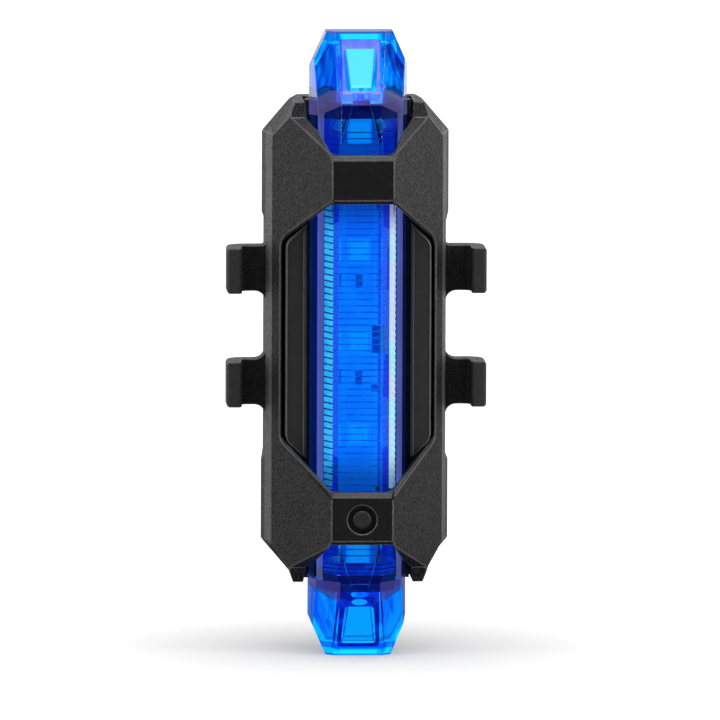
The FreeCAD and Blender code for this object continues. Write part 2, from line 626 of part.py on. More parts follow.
def make_rear_cover():
    """Hollow-backed cover that closes the case and lies on the seat post."""
    ends = loft("cover_ends", "XZ", [
        ("split_y", [(f"({a}) * split_half / side_half", b) for a, b in WIDE_OUTLINE]),
        ("wide_y", WIDE_OUTLINE),
        ("rear_y - cover_edge", drawn_in("cover_draft")),
        ("rear_y", drawn_in("(cover_draft + cover_edge)"))])
    hooks = []
    for label, sign in (("right", ""), ("left", "-")):
        hooks.append(make_hook(f"hook_upper_{label}", sign, "hook_top_low", "hook_top_high",
                               "hook_top_root"))
        hooks.append(make_hook(f"hook_lower_{label}", sign, "hook_low_low", "hook_low_high",
                               "hook_root"))
    lips = [block(f"cover_lip_{label}", wide("rail_in - lip_gap"),
                  ("plate_rear_y + lip_gap", "split_y + 0.5"), span)
            for label, span in (("upper", ("frame_top - lip_thick", "frame_top")),
                                ("lower", ("-frame_top", "-frame_top + lip_thick")))]
    saddle = post("cover_saddle", "cover_round", "-frame_top - 1", "frame_top + 1")
    cavity = cut("cover_cavity", block("cover_cavity_box", wide("cavity_half"),
                                       ("split_y - 1", "rear_y"), wide("cavity_top")),
                 [post("cover_cavity_back", "cavity_round", "-frame_top - 2", "frame_top + 2")])
    recess = block("cover_flap_recess", wide("flap_half + flap_gap"),
                   ("recess_y", "rear_y"), ("flap_low - anchor_tall - hinge_gap", "flap_top + flap_gap"))
    mouth = block("cover_socket_mouth", wide("socket_wide / 2 + flap_gap"),
                  ("split_y", "rear_y"),
                  ("socket_high - socket_tall / 2 - flap_gap", "socket_high + socket_tall / 2 + flap_gap"))
    anchor_slot = block("cover_anchor_slot", wide("tab_half"), ("recess_y - 0.5", "rear_y"),
                        ("flap_low - anchor_tall - hinge_gap", "flap_low - hinge_gap - 0.3"))
    shell = cut("cover_shell", ends, grip_cuts("cover"))
    tools = [saddle, cavity, recess, mouth, anchor_slot]
    for index, (side, end) in enumerate(SCREW_PLACES):
        tools.append(rod(f"cover_screw_hole_{index}", "screw_half + screw_gap", side, end,
                         ("split_y - 1", "rear_y + 1")))
        tools.append(rod(f"cover_head_hole_{index}", "head_half + head_gap", side, end,
                         ("screw_y", "rear_y + 1")))
    return cut("rear_cover", fuse("cover_body", [shell] + hooks + lips), tools)


def make_saddle_pad():
    """Curved rubber strip that grips the seat post."""
    sheet_body = common("pad_sheet", [
        post("pad_outside", "cover_round", "pad_low", "pad_top"),
        block("pad_extent", wide("pad_half"), ("floor_y", "rear_y"), ("pad_low", "pad_top"))])
    return cut("saddle_pad", sheet_body, [post("pad_inside", "post_half", "pad_low - 1", "pad_top + 1")])


# Lens
def facet_tool(name, sign_x, sign_z, inset):
    """Block whose lower face lies in a slanted end facet of the lens, moved inwards by the inset."""
    first = Vector(value("tip_front_half"), value("tip_y"), value("lens_top"))
    second = Vector(value("lens_front_half"), value("lens_y"), value("end_slope_top"))
    third = Vector(value("lens_bevel_half"), value("lens_bevel_y"), value("end_slope_top - facet_drop"))
    corners = [Vector(sign_x * p.x, p.y, sign_z * p.z) for p in (first, second, third)]
    normal = (corners[1] - corners[0]).cross(corners[2] - corners[0])
    if normal.dot(Vector(sign_x, -1, sign_z)) < 0:
        normal = -normal
    turn = FreeCAD.Rotation(Vector(0, 0, 1), normal)
    reach = value("lens_top")
    tool = doc.addObject("Part::Box", name)
    tool.Length = reach
    tool.Width = reach
    tool.Height = value("lens_front_step")
    middle = (corners[0] + corners[1] + corners[2]) * (1 / 3) - normal.normalize() * inset
    tool.Placement = FreeCAD.Placement(middle - turn.multVec(Vector(reach / 2, reach / 2, 0)), turn)
    return tool


def lens_form(name, plan, front, side):
    """Crossing of the plan, the side view and the front view of the lens."""
    return common(name, [
        prism(name + "_plan", "XY", both_sides(plan), "-lens_top", "lens_top"),
        prism(name + "_side", "YZ", front, "-side_half", "side_half"),
        prism(name + "_front", "XZ", both_sides(side), "band_y", "rear_y")])


def make_lens():
    """Clear hollow lens with gem-cut ends, open behind the lamp board."""
    outer = lens_form("lens_outer", [
        ("lens_front_half", "lens_y"), ("lens_bevel_half", "lens_bevel_y"),
        ("lens_side_half", "lens_rear_y")], [
        ("lens_y", "-end_slope_top"), ("tip_y", "-lens_top"), ("lens_rear_y", "-lens_top"),
        ("lens_rear_y", "lens_top - tip_lean"), ("tip_y", "lens_top"), ("lens_y", "end_slope_top")], [
        ("tip_half", "-lens_top"), ("lens_side_half", "-lens_top + tip_taper"),
        ("lens_side_half", "lens_top - tip_taper"), ("tip_half", "lens_top")])
    quarters = ((1, 1), (1, -1), (-1, 1), (-1, -1))
    facets = [facet_tool(f"lens_facet_{index}", sign_x, sign_z, 0)
              for index, (sign_x, sign_z) in enumerate(quarters)]
    gem = cut("lens_gem", outer, facets)
    wall_top = "lens_top - tip_wall"
    slope_top = "end_slope_top - lens_wall * 0.37"
    inner = lens_form("lens_inner", [
        ("inner_front_half", "lens_y + lens_wall"), ("inner_bevel_half", "lens_bevel_y + lens_wall / 2"),
        ("inner_side_half", "lens_rear_y - lens_back_wall")], [
        ("lens_y + lens_wall", minus(slope_top)), ("tip_y + lens_wall * 0.7", minus(wall_top)),
        ("lens_rear_y - lens_back_wall", minus(wall_top)), ("lens_rear_y - lens_back_wall", wall_top),
        ("tip_y + lens_wall * 0.7", wall_top), ("lens_y + lens_wall", slope_top)], [
        ("tip_half - lens_wall * 0.75", minus(wall_top)),
        ("inner_side_half", "-lens_top + tip_taper + lens_wall * 0.4"),
        ("inner_side_half", "lens_top - tip_taper - lens_wall * 0.4"),
        ("tip_half - lens_wall * 0.75", wall_top)])
    inner_facets = [facet_tool(f"lens_inner_facet_{index}", sign_x, sign_z, value("tip_wall"))
                    for index, (sign_x, sign_z) in enumerate(quarters)]
    hollow = cut("lens_hollow", inner, inner_facets)
    opening = block("lens_opening", wide("inner_side_half"),
                    ("lens_rear_y - lens_back_wall - 0.1", "lens_rear_y + 1"), wide("lens_open_top"))
    stem_hole = rod("lens_stem_hole", "stem_half + stem_gap", "0", "button_high",
                    ("lens_y - 1", "lens_y + lens_wall + 1"))
    return cut("lens", gem, [hollow, opening, stem_hole])


def make_gasket():
    """Flat seal between the lens rim and the housing."""
    ring = block("gasket_sheet", wide("inner_side_half + gasket_wide"), ("lens_rear_y", "floor_y"),
                 wide("plate_top"))
    hole = block("gasket_hole", wide("inner_side_half"), ("lens_rear_y - 1", "floor_y + 1"),
                 wide("lens_open_top"))
    return cut("lens_gasket", ring, [hole])


# Inner housing
def make_inner_housing():
    """Black tray that carries board and battery, with the shoulders seen in the window."""
    floor = prism("housing_floor", "XZ", both_sides([
        ("notch_end_half - plate_gap", "-plate_top"), ("notch_end_half - plate_gap", "-neck_top"),
        ("plate_half", "-neck_top"), ("plate_half", "-ear_top"), ("ear_half", "-ear_top + 1.5"),
        ("ear_half", "ear_top - 1.5"), ("plate_half", "ear_top"), ("plate_half", "neck_top"),
        ("notch_end_half - plate_gap", "neck_top"), ("notch_end_half - plate_gap", "plate_top")]),
        "floor_y", "plate_rear_y")
    rails = [block(f"housing_rail_{label}", span, ("plate_rear_y - 0.2", "split_y"), wide("neck_top"))
             for label, span in (("right", ("rail_in", "plate_half")),
                                 ("left", ("-plate_half", "-rail_in")))]
    ribs = [block(f"housing_rib_{label}", span, ("board_rear_y", "floor_y + 0.2"), wide("board_top"))
            for label, span in (("right", ("board_half - rib_wide", "board_half")),
                                ("left", ("-board_half", "-board_half + rib_wide")))]
    filled = make_window("housing_window", "shoulder_gap", "shoulder_y", "floor_y + 0.2")
    ridge = make_window("housing_ridge", "shoulder_gap", "shoulder_y - ridge_rise", "shoulder_y + 0.2")
    gap = block("housing_lens_gap", wide("shoulder_in"), ("band_y", "floor_y"), wide("frame_top"))
    ridge_strip = block("housing_ridge_strip", wide("shoulder_in + ridge_wide"), ("band_y", "floor_y"),
                        wide("frame_top"))
    shoulders = cut("housing_shoulders", fuse("housing_raised", [
        filled, common("housing_ridges", [ridge, ridge_strip])]), [gap])
    blinds = [block(f"housing_blind_{label}", wide("board_half"), ("floor_y - blind_rise", "floor_y + 0.2"),
                    span)
              for label, span in (("upper", ("blind_top - blind_thick", "blind_top")),
                                  ("lower", ("-blind_top", "-blind_top + blind_thick")))]
    holes = pin_rods("housing_pin_hole", "pin_half + pin_hole_gap", ("board_rear_y - 1", "plate_rear_y + 1"))
    return cut("inner_housing", fuse("housing_body", [floor, shoulders] + rails + ribs + blinds), holes)


PIN_PLACES = ["pin_spread + pin_pitch / 2", "pin_spread - pin_pitch / 2",
              "-pin_spread + pin_pitch / 2", "-pin_spread - pin_pitch / 2"]


def pin_rods(name, radius, y_range):
    """Round bars at the places of the four board pins."""
    return [rod(f"{name}_{index}", radius, place, "pin_high", y_range)
            for index, place in enumerate(PIN_PLACES)]


# Lamp board and what is soldered to it
def make_main_board():
    """Long circuit board that carries the lamp chips."""
    blank = block("board_blank", wide("board_half"), ("board_y", "board_rear_y"), wide("board_top"))
    return cut("main_board", blank,
               pin_rods("board_pin_hole", "pin_half + pin_hole_gap", ("board_y - 1", "board_rear_y + 1")))


LED_PLACES = ["led_far", "led_pitch", "0", "-led_pitch", "-led_far"]


def make_led_chips():
    """Five lamp chips in a row."""
    chips = []
    for index, place in enumerate(LED_PLACES):
        chips.append(block(f"led_chip_{index}", wide("led_wide / 2"), ("board_y - led_thick", "board_y"),
                           (f"({place}) - led_tall / 2", f"({place}) + led_tall / 2")))
    return group("led_chips", chips)


# Small parts on the lamp board: middle across, middle up, width, height
RESISTORS = [(0.0, 7.3, 0.8, 1.6), (0.0, -4.2, 0.8, 1.6), (2.3, -5.4, 1.6, 0.8), (0.0, 17.4, 1.6, 0.8),
             (-2.6, -15.0, 0.8, 1.6), (2.4, 16.6, 0.8, 1.6)]


def small_parts(name, rows, front, rear):
    """Group of little boxes on a board."""
    boxes = []
    for index, (across, up, width, height) in enumerate(rows):
        boxes.append(block(f"{name}_{index}", (f"{across} - {width} / 2", f"{across} + {width} / 2"),
                           (front, rear), (f"{up} - {height} / 2", f"{up} + {height} / 2")))
    return boxes


def make_switch():
    """Push switch and its plunger."""
    body = block("switch_block", wide("switch_wide / 2"), ("switch_y", "board_y"),
                 ("button_high - switch_wide / 2", "button_high + switch_wide / 2"))
    hole = rod("switch_hole", "plunger_half + plunger_gap", "0", "button_high",
               ("switch_y - 1", "switch_y + plunger_in + plunger_room"))
    cut("switch_body", body, [hole])
    rod("switch_plunger", "plunger_half", "0", "button_high", ("plunger_y", "switch_y + plunger_in"))


def make_button():
    """Turned button: face, flange behind the band, and stem down to the switch."""
    profile = outline("button_profile", "XY", [
        ("0", "band_y + button_inset"), ("button_half", "band_y + button_inset"),
        ("button_half", "flange_y"), ("flange_half", "flange_y"),
        ("flange_half", "flange_y + flange_thick"), ("stem_half", "flange_y + flange_thick"),
        ("stem_half", "plunger_y"), ("0", "plunger_y")], "0")
    turned = doc.addObject("Part::Revolution", "button_turned")
    turned.Source = profile
    turned.Axis = Vector(0, 1, 0)
    turned.Angle = 360
    turned.Solid = True
    doc.recompute()
    face = value("band_y + button_inset")
    crown = [number for number, edge in enumerate(turned.Shape.Edges, start=1)
             if edge.BoundBox.YMax - edge.BoundBox.YMin < 1e-4 and abs(edge.BoundBox.YMax - face) < 1e-4
             and edge.BoundBox.XMax > value("button_half") - 1e-3]
    cap = doc.addObject("Part::Fillet", "button_cap")
    cap.Base = turned
    cap.Edges = [(number, value("button_crown"), value("button_crown")) for number in crown]
    cap.setExpression("Placement.Base.z", bound("button_high"))
    return cap


def make_seal():
    """Rubber sleeve round the stem, in front of the lens."""
    ring = rod("seal_ring", "seal_half", "0", "button_high", ("seal_y", "lens_y"))
    return cut("button_seal", ring, [rod("seal_bore", "stem_half + stem_gap", "0", "button_high",
                                         ("seal_y - 1", "lens_y + 1"))])


# Battery and charging parts
def make_power():
    """Battery on its tape, its leads, the charging board and the socket."""
    block("battery_tape", wide("battery_half - tape_margin"), ("plate_rear_y", "tape_y"),
          ("battery_low + tape_margin", "battery_top - tape_margin"))
    cell = block("battery_block", wide("battery_half"), ("tape_y", "battery_y"),
                 ("battery_low", "battery_top"))
    corners = [(f"{side}battery_half", place) for side in ("", "-") for place in ("tape_y", "battery_y")]
    rounded("battery_cell", cell, "z", corners, "battery_thick / 3")
    for label, sign in (("red", "-"), ("black", "")):
        lead = doc.addObject("Part::Cylinder", f"battery_lead_{label}")
        lead.setExpression("Radius", bound("lead_half"))
        lead.setExpression("Height", bound("lead_long"))
        lead.setExpression("Placement.Base.x", bound(f"{sign}lead_spread"))
        lead.setExpression("Placement.Base.y", bound("charge_y + lead_half"))
        lead.setExpression("Placement.Base.z", bound("battery_low - lead_long"))
    sheet_body = block("charge_blank", wide("charge_half"), ("plate_rear_y", "charge_y"),
                       ("charge_low", "charge_top"))
    cut("charge_board", sheet_body,
        pin_rods("charge_pin_hole", "pin_half + pin_hole_gap", ("plate_rear_y - 1", "charge_y + 1")))
    group("board_pins", pin_rods("board_pin", "pin_half", ("board_y - pin_proud", "charge_y + pin_proud")))
    shell = block("socket_block", wide("socket_wide / 2"), ("charge_y", "mouth_y"),
                  ("socket_high - socket_tall / 2", "socket_high + socket_tall / 2"))
    hollow = block("socket_hollow", wide("socket_wide / 2 - socket_wall"),
                   ("charge_y + socket_wall", "mouth_y + 1"),
                   ("socket_high - socket_tall / 2 + socket_wall",
                    "socket_high + socket_tall / 2 - socket_wall"))
    cut("usb_socket_shell", shell, [hollow])
    block("usb_contact_tongue", wide("tongue_wide / 2"),
          ("charge_y + socket_wall", "mouth_y - tongue_short"),
          ("socket_high - tongue_tall / 2", "socket_high + tongue_tall / 2"))
    block("charge_chip", ("-1.5", "1.5"), ("charge_y", "charge_y + chip_thick * 1.6"),
          ("charge_low + 0.5", "charge_low + 2.1"))


def make_port_cover():
    """Rubber flap with a plug for the socket, and the anchor that holds it."""
    leaf = block("flap_leaf", wide("flap_half"), ("recess_y", "flap_y"), ("flap_low", "flap_top"))
    plug = block("flap_plug", wide("plug_half"), ("recess_y - plug_long", "recess_y + 0.1"),
                 ("socket_high - plug_tall / 2", "socket_high + plug_tall / 2"))
    fuse("port_cover", [leaf, plug])
    foot = block("anchor_foot", wide("flap_half"), ("recess_y", "flap_y"),
                 ("flap_low - anchor_tall - hinge_gap", "flap_low - hinge_gap"))
    root = block("anchor_root", wide("tab_half"), ("recess_y - 0.5", "recess_y + 0.1"),
                 ("flap_low - anchor_tall - hinge_gap", "flap_low - hinge_gap - 0.3"))
    fuse("port_cover_anchor", [foot, root])


# Screws
def make_screws():
    """Four cross-slotted screws that hold the cover to the frame."""
    screws = []
    for index, (side, end) in enumerate(SCREW_PLACES):
        head = rod(f"screw_head_{index}", "head_half", side, end, ("screw_y", "screw_y + head_thick"))
        shank = rod(f"screw_shank_{index}", "screw_half", side, end,
                    ("split_y - screw_bite", "screw_y + 0.1"))
        slots = [
            block(f"screw_slot_across_{index}", (f"{side} - drive_half", f"{side} + drive_half"),
                  ("screw_y + head_thick - drive_deep", "screw_y + head_thick + 1"),
                  (f"{end} - drive_wide / 2", f"{end} + drive_wide / 2")),
            block(f"screw_slot_up_{index}", (f"{side} - drive_wide / 2", f"{side} + drive_wide / 2"),
                  ("screw_y + head_thick - drive_deep", "screw_y + head_thick + 1"),
                  (f"{end} - drive_half", f"{end} + drive_half"))]
        screws.append(cut(f"screw_{index}", fuse(f"screw_blank_{index}", [head, shank]), slots))
    return group("cover_screws", screws)


make_front_frame()
make_rear_cover()
make_saddle_pad()
make_lens()
make_gasket()
make_inner_housing()
make_main_board()
make_led_chips()
group("led_resistors", small_parts("resistor", RESISTORS, "board_y - chip_thick", "board_y"))
group("driver_chip", small_parts("driver", [(2.4, 0.4, 1.7, 3.2)], "board_y - chip_thick * 1.6", "board_y"))
make_switch()
make_button()
make_seal()
make_power()
make_port_cover()
make_screws()

NODES = [
    "front_frame", "rear_cover", "saddle_pad", "lens", "lens_gasket", "inner_housing", "main_board",
    "led_chips", "led_resistors", "driver_chip", "switch_body", "switch_plunger", "button_cap",
    "button_seal", "battery_tape", "battery_cell", "battery_lead_red", "battery_lead_black",
    "charge_board", "board_pins", "usb_socket_shell", "usb_contact_tongue", "charge_chip",
    "port_cover", "port_cover_anchor", "cover_screws",
]


def raise_to_foot(piece):
    """Lift a finished piece so that the lower lens tip stands at Z = 0."""
    now = ""
    for path, formula in piece.ExpressionEngine:
        if path.endswith("Placement.Base.z"):
            now = f"{formula} + "
    piece.setExpression("Placement.Base.z", now + bound("lens_top"))


for node in NODES:
    piece = doc.getObject(node)
    piece.Label = node
    raise_to_foot(piece)
doc.recompute()

# Check every object before anything is written
for thing in doc.Objects:
    if "Invalid" in thing.State or "Error" in thing.State:
        raise RuntimeError(f"{thing.Name} failed: {thing.State}")
os.makedirs("parts", exist_ok=True)
for node in NODES:
    shape = doc.getObject(node).Shape
    if shape.isNull() or not shape.isValid() or not shape.Solids:
        raise RuntimeError(f"{node} has no valid solid")
for node in NODES:
    shape = doc.getObject(node).Shape
    shape.exportStep(f"parts/{node}.step")
    print(node, "solids", len(shape.Solids), "volume", round(shape.Volume, 2))
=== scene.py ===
# %% [markdown]
# # A bicycle tail light, dressed for its picture
# The light is a small black case with a tall blue lens that runs through it from top to bottom.
# Two black bands cross the lens, wings slope back from the bands, and four hooks at the sides
# take the rubber strap that holds the light to a seat post.  The shapes come in as a fixed
# frame, already in metres and in place.  This file gives them soft edges, surfaces and light.
# Numbers here are millimetres unless they say otherwise, and MM turns them into metres.

import math

import bmesh
import bpy
import numpy as np
from mathutils import Matrix, Vector


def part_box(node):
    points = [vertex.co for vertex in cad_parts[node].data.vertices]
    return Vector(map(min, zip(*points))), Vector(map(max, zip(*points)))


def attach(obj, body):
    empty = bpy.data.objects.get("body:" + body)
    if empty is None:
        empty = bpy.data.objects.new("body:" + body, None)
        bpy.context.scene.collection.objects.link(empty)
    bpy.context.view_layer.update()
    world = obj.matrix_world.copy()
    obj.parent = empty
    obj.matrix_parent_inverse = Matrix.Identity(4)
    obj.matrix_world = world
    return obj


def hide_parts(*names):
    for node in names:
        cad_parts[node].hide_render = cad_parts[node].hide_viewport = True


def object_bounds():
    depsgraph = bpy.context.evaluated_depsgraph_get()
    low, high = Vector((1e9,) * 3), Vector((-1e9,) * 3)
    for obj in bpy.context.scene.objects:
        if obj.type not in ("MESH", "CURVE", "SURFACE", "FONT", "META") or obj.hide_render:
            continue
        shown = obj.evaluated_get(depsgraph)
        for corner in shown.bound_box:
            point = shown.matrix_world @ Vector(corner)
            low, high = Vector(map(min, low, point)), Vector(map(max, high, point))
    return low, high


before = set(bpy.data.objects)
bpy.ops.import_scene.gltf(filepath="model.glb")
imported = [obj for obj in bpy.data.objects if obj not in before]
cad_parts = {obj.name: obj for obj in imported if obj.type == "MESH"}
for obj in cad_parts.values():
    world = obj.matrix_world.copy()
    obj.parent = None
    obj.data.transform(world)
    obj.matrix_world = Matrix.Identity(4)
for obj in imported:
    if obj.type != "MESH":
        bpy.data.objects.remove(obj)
solid_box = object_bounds()
scene = bpy.context.scene
scene.view_settings.view_transform = "Standard"
MM = 0.001


def box_mm(node):
    """A node's lowest and highest corners at rest, in millimetres, as two rows of an array."""
    return np.round(np.array([list(corner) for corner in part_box(node)]) / MM, 3)


MIDDLE = round((solid_box[0][2] + solid_box[1][2]) / 2 / MM, 3)  # height of the light's middle
print("nodes", len(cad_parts), "middle", MIDDLE)
print("box", [round(v / MM, 2) for v in (*solid_box[0], *solid_box[1])])

# %% [markdown]
# ## The camera
# The picture looks at the front from a little to the left and a little above.  Lines that run
# away from the viewer hardly come together, which is what a long lens far away gives.  A
# camera without any perspective would do that too, but it would lose the last trace of depth,
# so a real lens stands three metres off.  One millimetre on the case's widest plane has to
# cover 8.46 of the picture's 720 pixels, and this sets the focal length.

# %% Camera from the left and slightly above
PICTURE = 720           # width of the picture in pixels
SENSOR = 36.0           # width of the camera's sensor


def outward(azimuth, elevation):
    """Unit vector from the light towards the given angles; zero and zero is straight ahead."""
    side, lift = math.radians(azimuth), math.radians(elevation)
    return Vector((math.sin(side) * math.cos(lift), -math.cos(side) * math.cos(lift),
                   math.sin(lift)))


def look_from(name, aim, azimuth, elevation, distance, pixels_per_mm, roll):
    """Camera at the given angles round the aim point, with a lens for the wanted scale."""
    back = outward(azimuth, elevation)
    data = bpy.data.cameras.new(name)
    data.sensor_width = SENSOR
    data.lens = pixels_per_mm / MM * distance * SENSOR / PICTURE
    data.clip_start, data.clip_end = 0.1, 100.0
    camera = bpy.data.objects.new(name, data)
    scene.collection.objects.link(camera)
    turn = (-back).to_track_quat("-Z", "Y")
    turn = turn @ Matrix.Rotation(math.radians(roll), 3, "Z").to_quaternion()
    camera.rotation_mode = "QUATERNION"
    camera.location, camera.rotation_quaternion = aim + back * distance, turn
    return camera


aim = Vector((0.00065, 0.006, 0.033845))
scene.camera = look_from("Camera", aim, azimuth=-3.3, elevation=7.0, distance=3.0,
                         pixels_per_mm=8.463, roll=0.2)
print("lens", round(scene.camera.data.lens), "mm")

# %% [markdown]
# ## Writing a finish
# A finish is a tree of shader nodes.  Drawn by hand it soon becomes a web of wires, so here it
# is written as sums.  `Signal` wraps one output socket: adding or multiplying signals adds the
# Math nodes.  `Finish` holds one tree and has a single method that makes any other node from
# its type, its settings and the values of its sockets.

# %% Signals
class Signal:
    """One output socket of a finish; arithmetic on it adds Math nodes."""

    def __init__(self, finish, socket):
        self.finish, self.socket = finish, socket

    def sum(self, operation, first, *others):
        return self.finish.node("Math", {"operation": operation}, [first, *others])

    def __add__(self, other):
        return self.sum("ADD", self, other)

    def __sub__(self, other):
        return self.sum("SUBTRACT", self, other)

    def __rsub__(self, other):
        return self.sum("SUBTRACT", other, self)

    def __mul__(self, other):
        return self.sum("MULTIPLY", self, other)

    def __truediv__(self, other):
        return self.sum("DIVIDE", self, other)

    def __gt__(self, other):
        return self.sum("GREATER_THAN", self, other)

    def __lt__(self, other):
        return self.sum("LESS_THAN", self, other)

    def __mod__(self, other):
        return self.sum("FLOORED_MODULO", self, other)

    def __abs__(self):
        return self.sum("ABSOLUTE", self)

    def larger(self, other):
        return self.sum("MAXIMUM", self, other)

    def smaller(self, other):
        return self.sum("MINIMUM", self, other)

    __radd__, __rmul__ = __add__, __mul__


print("signals are ready")


# %% Finishes
class Finish:
    """A shader tree under construction, for a material or for the world."""

    def __init__(self, name, owner=None):
        self.owner = owner or bpy.data.materials.new(name)
        self.owner.use_nodes = True
        self.tree = self.owner.node_tree
        self.tree.nodes.clear()

    def node(self, kind, settings=None, inputs=(), output=0):
        """Adds a node: settings first, then the values or links of its sockets."""
        made = self.tree.nodes.new("ShaderNode" + kind)
        for key, value in (settings or {}).items():
            setattr(made, key, value)
        pairs = inputs.items() if isinstance(inputs, dict) else enumerate(inputs)
        for key, value in pairs:
            if isinstance(value, Signal):
                self.tree.links.new(value.socket, made.inputs[key])
            else:
                made.inputs[key].default_value = value
        return Signal(self, made.outputs[output])

    def blend(self, factor, first, second):
        """Colour between two others; plain colours are given as three numbers."""
        first, second = [c if isinstance(c, Signal) else (*c, 1) for c in (first, second)]
        return self.node("Mix", {"data_type": "RGBA"}, {0: factor, 6: first, 7: second}, output=2)

    def place(self):
        """Where a point lies on the object, as a vector and as three signals in millimetres."""
        spot = self.node("TexCoord", output="Object")
        spot = self.node("VectorMath", {"operation": "SCALE"}, {0: spot, "Scale": 1 / MM})
        return spot, [self.node("SeparateXYZ", {}, [spot], output=i) for i in range(3)]

    def grain(self, size, detail=2.0, rough=0.5):
        """Soft noise whose spots are about so many millimetres wide, from 0 to 1."""
        return self.node("TexNoise", {}, {"Vector": self.place()[0], "Scale": 1.0 / size,
                                          "Detail": detail, "Roughness": rough})

    def ramp(self, value, low, high, first=0.0, last=1.0):
        """Smooth step from the first number to the last while the value goes low to high."""
        return self.node("MapRange", {"interpolation_type": "SMOOTHSTEP"},
                         {"Value": value, "From Min": low, "From Max": high, "To Min": first,
                          "To Max": last})

    def bump(self, height, depth, strength=0.6):
        """Normal that makes a height signal stand out by so many millimetres."""
        return self.node("Bump", {}, {"Height": height, "Distance": depth * MM,
                                      "Strength": strength})

    def close(self, shader, volume=None):
        """Ends the tree in its output and gives the finished material or world."""
        kind = "OutputWorld" if isinstance(self.owner, bpy.types.World) else "OutputMaterial"
        ends = {"Surface": shader, "Volume": volume} if volume else {"Surface": shader}
        end = self.tree.nodes.new("ShaderNode" + kind)
        for name, signal in ends.items():
            self.tree.links.new(signal.socket, end.inputs[name])
        return self.owner


print("finishes are ready")

# %% [markdown]
# ## The white table
# The light stands on a white table.  A plain white sheet would turn grey away from the lamps,
# and more lamps would burn out the light itself.  So the table is two things at once: matt
# white, which takes the soft shadow under the tip, and a glow that only the camera, mirrored
# rays and clear plastic see.  Away from the tip the glow takes over.

# %% Table, matt near the tip and glowing further away
FRONT_DARK = 0.03       # level that reflections find on the camera's side
SHADOW_REACH = (8, 60)  # the shadow fades between these distances from the tip
SHADOW_GLOW = 0.2       # share of glow where the shadow is deepest


def rays_of(finish):
    """Three signals that are 1 for rays from the camera, through clear plastic, and mirrored."""
    return [finish.node("LightPath", output=name)
            for name in ("Is Camera Ray", "Is Transmission Ray", "Is Glossy Ray")]


table = Finish("table_white")
camera_ray, clear_ray, mirror_ray = rays_of(table)
spot, (across, depth, up) = table.place()
distance = table.node("VectorMath", {"operation": "LENGTH"}, [spot], output="Value")
far = table.ramp(distance, *SHADOW_REACH, SHADOW_GLOW, 1.0)
behind = table.ramp(depth, -20, 350, FRONT_DARK, 0.8)
beyond = table.ramp(depth, -12, 6, FRONT_DARK, 1.0)
white_seen = camera_ray.larger(clear_ray * beyond).larger(behind)
matt = table.node("BsdfDiffuse", {}, {"Color": (0.86, 0.86, 0.87, 1)})
glow = table.node("Emission", {}, {"Color": table.blend(white_seen, (0, 0, 0), (1, 1, 1)),
                                   "Strength": 1.3})
glowing_share = (camera_ray * far).larger(mirror_ray).larger(clear_ray)
table_white = table.close(table.node("MixShader", {}, {0: glowing_share, 1: matt, 2: glow}))

mesh = bpy.data.meshes.new("table")
mesh.from_pydata([(-4, -4, 0), (4, -4, 0), (4, 8, 0), (-4, 8, 0)], [], [(0, 1, 2, 3)])
mesh.materials.append(table_white)
table_top = bpy.data.objects.new("table", mesh)
scene.collection.objects.link(table_top)
print("table, 8 by 12 metres")

# %% [markdown]
# ## The studio round the light
# The camera sees pure white.  Reflections find white only above and behind, and a dark studio
# on the camera's own side, because the flat bands in the picture are darker than the wings; the
# bands' colour is also painted darker, painted shade.
# A world that answers each kind of ray by itself does this without any wall being built.

# %% World
SCATTERED = 0.42        # level of the even light that falls on dull surfaces

scene.world = scene.world or bpy.data.worlds.new("studio")
studio = Finish("studio", scene.world)
camera_ray, clear_ray, mirror_ray = rays_of(studio)
heading = studio.node("TexCoord", output="Generated")
towards, upwards = [studio.node("SeparateXYZ", {}, [heading], output=axis) for axis in "YZ"]
overhead = studio.ramp(upwards, 0.6, 0.92)
mirrored = studio.ramp(towards, 0.1, 0.95, FRONT_DARK).larger(overhead)
through = studio.ramp(towards, -0.3, 0.3, FRONT_DARK).larger(overhead)
scattered = (1 - mirror_ray) * (1 - clear_ray) * SCATTERED
level = camera_ray.larger(mirror_ray * mirrored + clear_ray * through + scattered)
studio.close(studio.node("Background", {}, {"Color": (1, 1, 1, 1), "Strength": level}))
print("studio, scattered level", SCATTERED)

# %% [markdown]
# ## Three soft boxes
# The wings and the side faces of the case are lighter than its front, and its upper edges
# carry a fine light line.  Two tall soft boxes beside the light and one above it give that,
# together with painted light on the side faces and a painted highlight on the edges.
# They are area lamps: large and near, so that no shadow has a hard edge.

# %% Soft boxes
def soft_box(name, azimuth, elevation, distance, width, height, level):
    """Area lamp aimed at the light; level is the share of full white it gives a facing wall.

    A facing wall at distance d takes energy / (pi^2 d^2), which gives the lamp's energy.
    """
    data = bpy.data.lights.new(name, "AREA")
    data.shape, data.size, data.size_y = "RECTANGLE", width, height
    data.energy = level * math.pi ** 2 * distance ** 2
    lamp = bpy.data.objects.new(name, data)
    out = outward(azimuth, elevation)
    lamp.location = Vector((0, 0, MIDDLE * MM)) + out * distance
    lamp.rotation_mode = "QUATERNION"
    lamp.rotation_quaternion = out.to_track_quat("Z", "Y")
    lamp.visible_camera = lamp.visible_transmission = False
    scene.collection.objects.link(lamp)
    print(name, "at", azimuth, elevation, "degrees")


soft_box("left_box", -74, 2, distance=0.7, width=0.2, height=0.7, level=0.5)
soft_box("right_box", 66, 2, distance=0.7, width=0.2, height=0.7, level=0.7)
soft_box("top_box", 0, 76, distance=0.8, width=0.8, height=0.6, level=0.6)
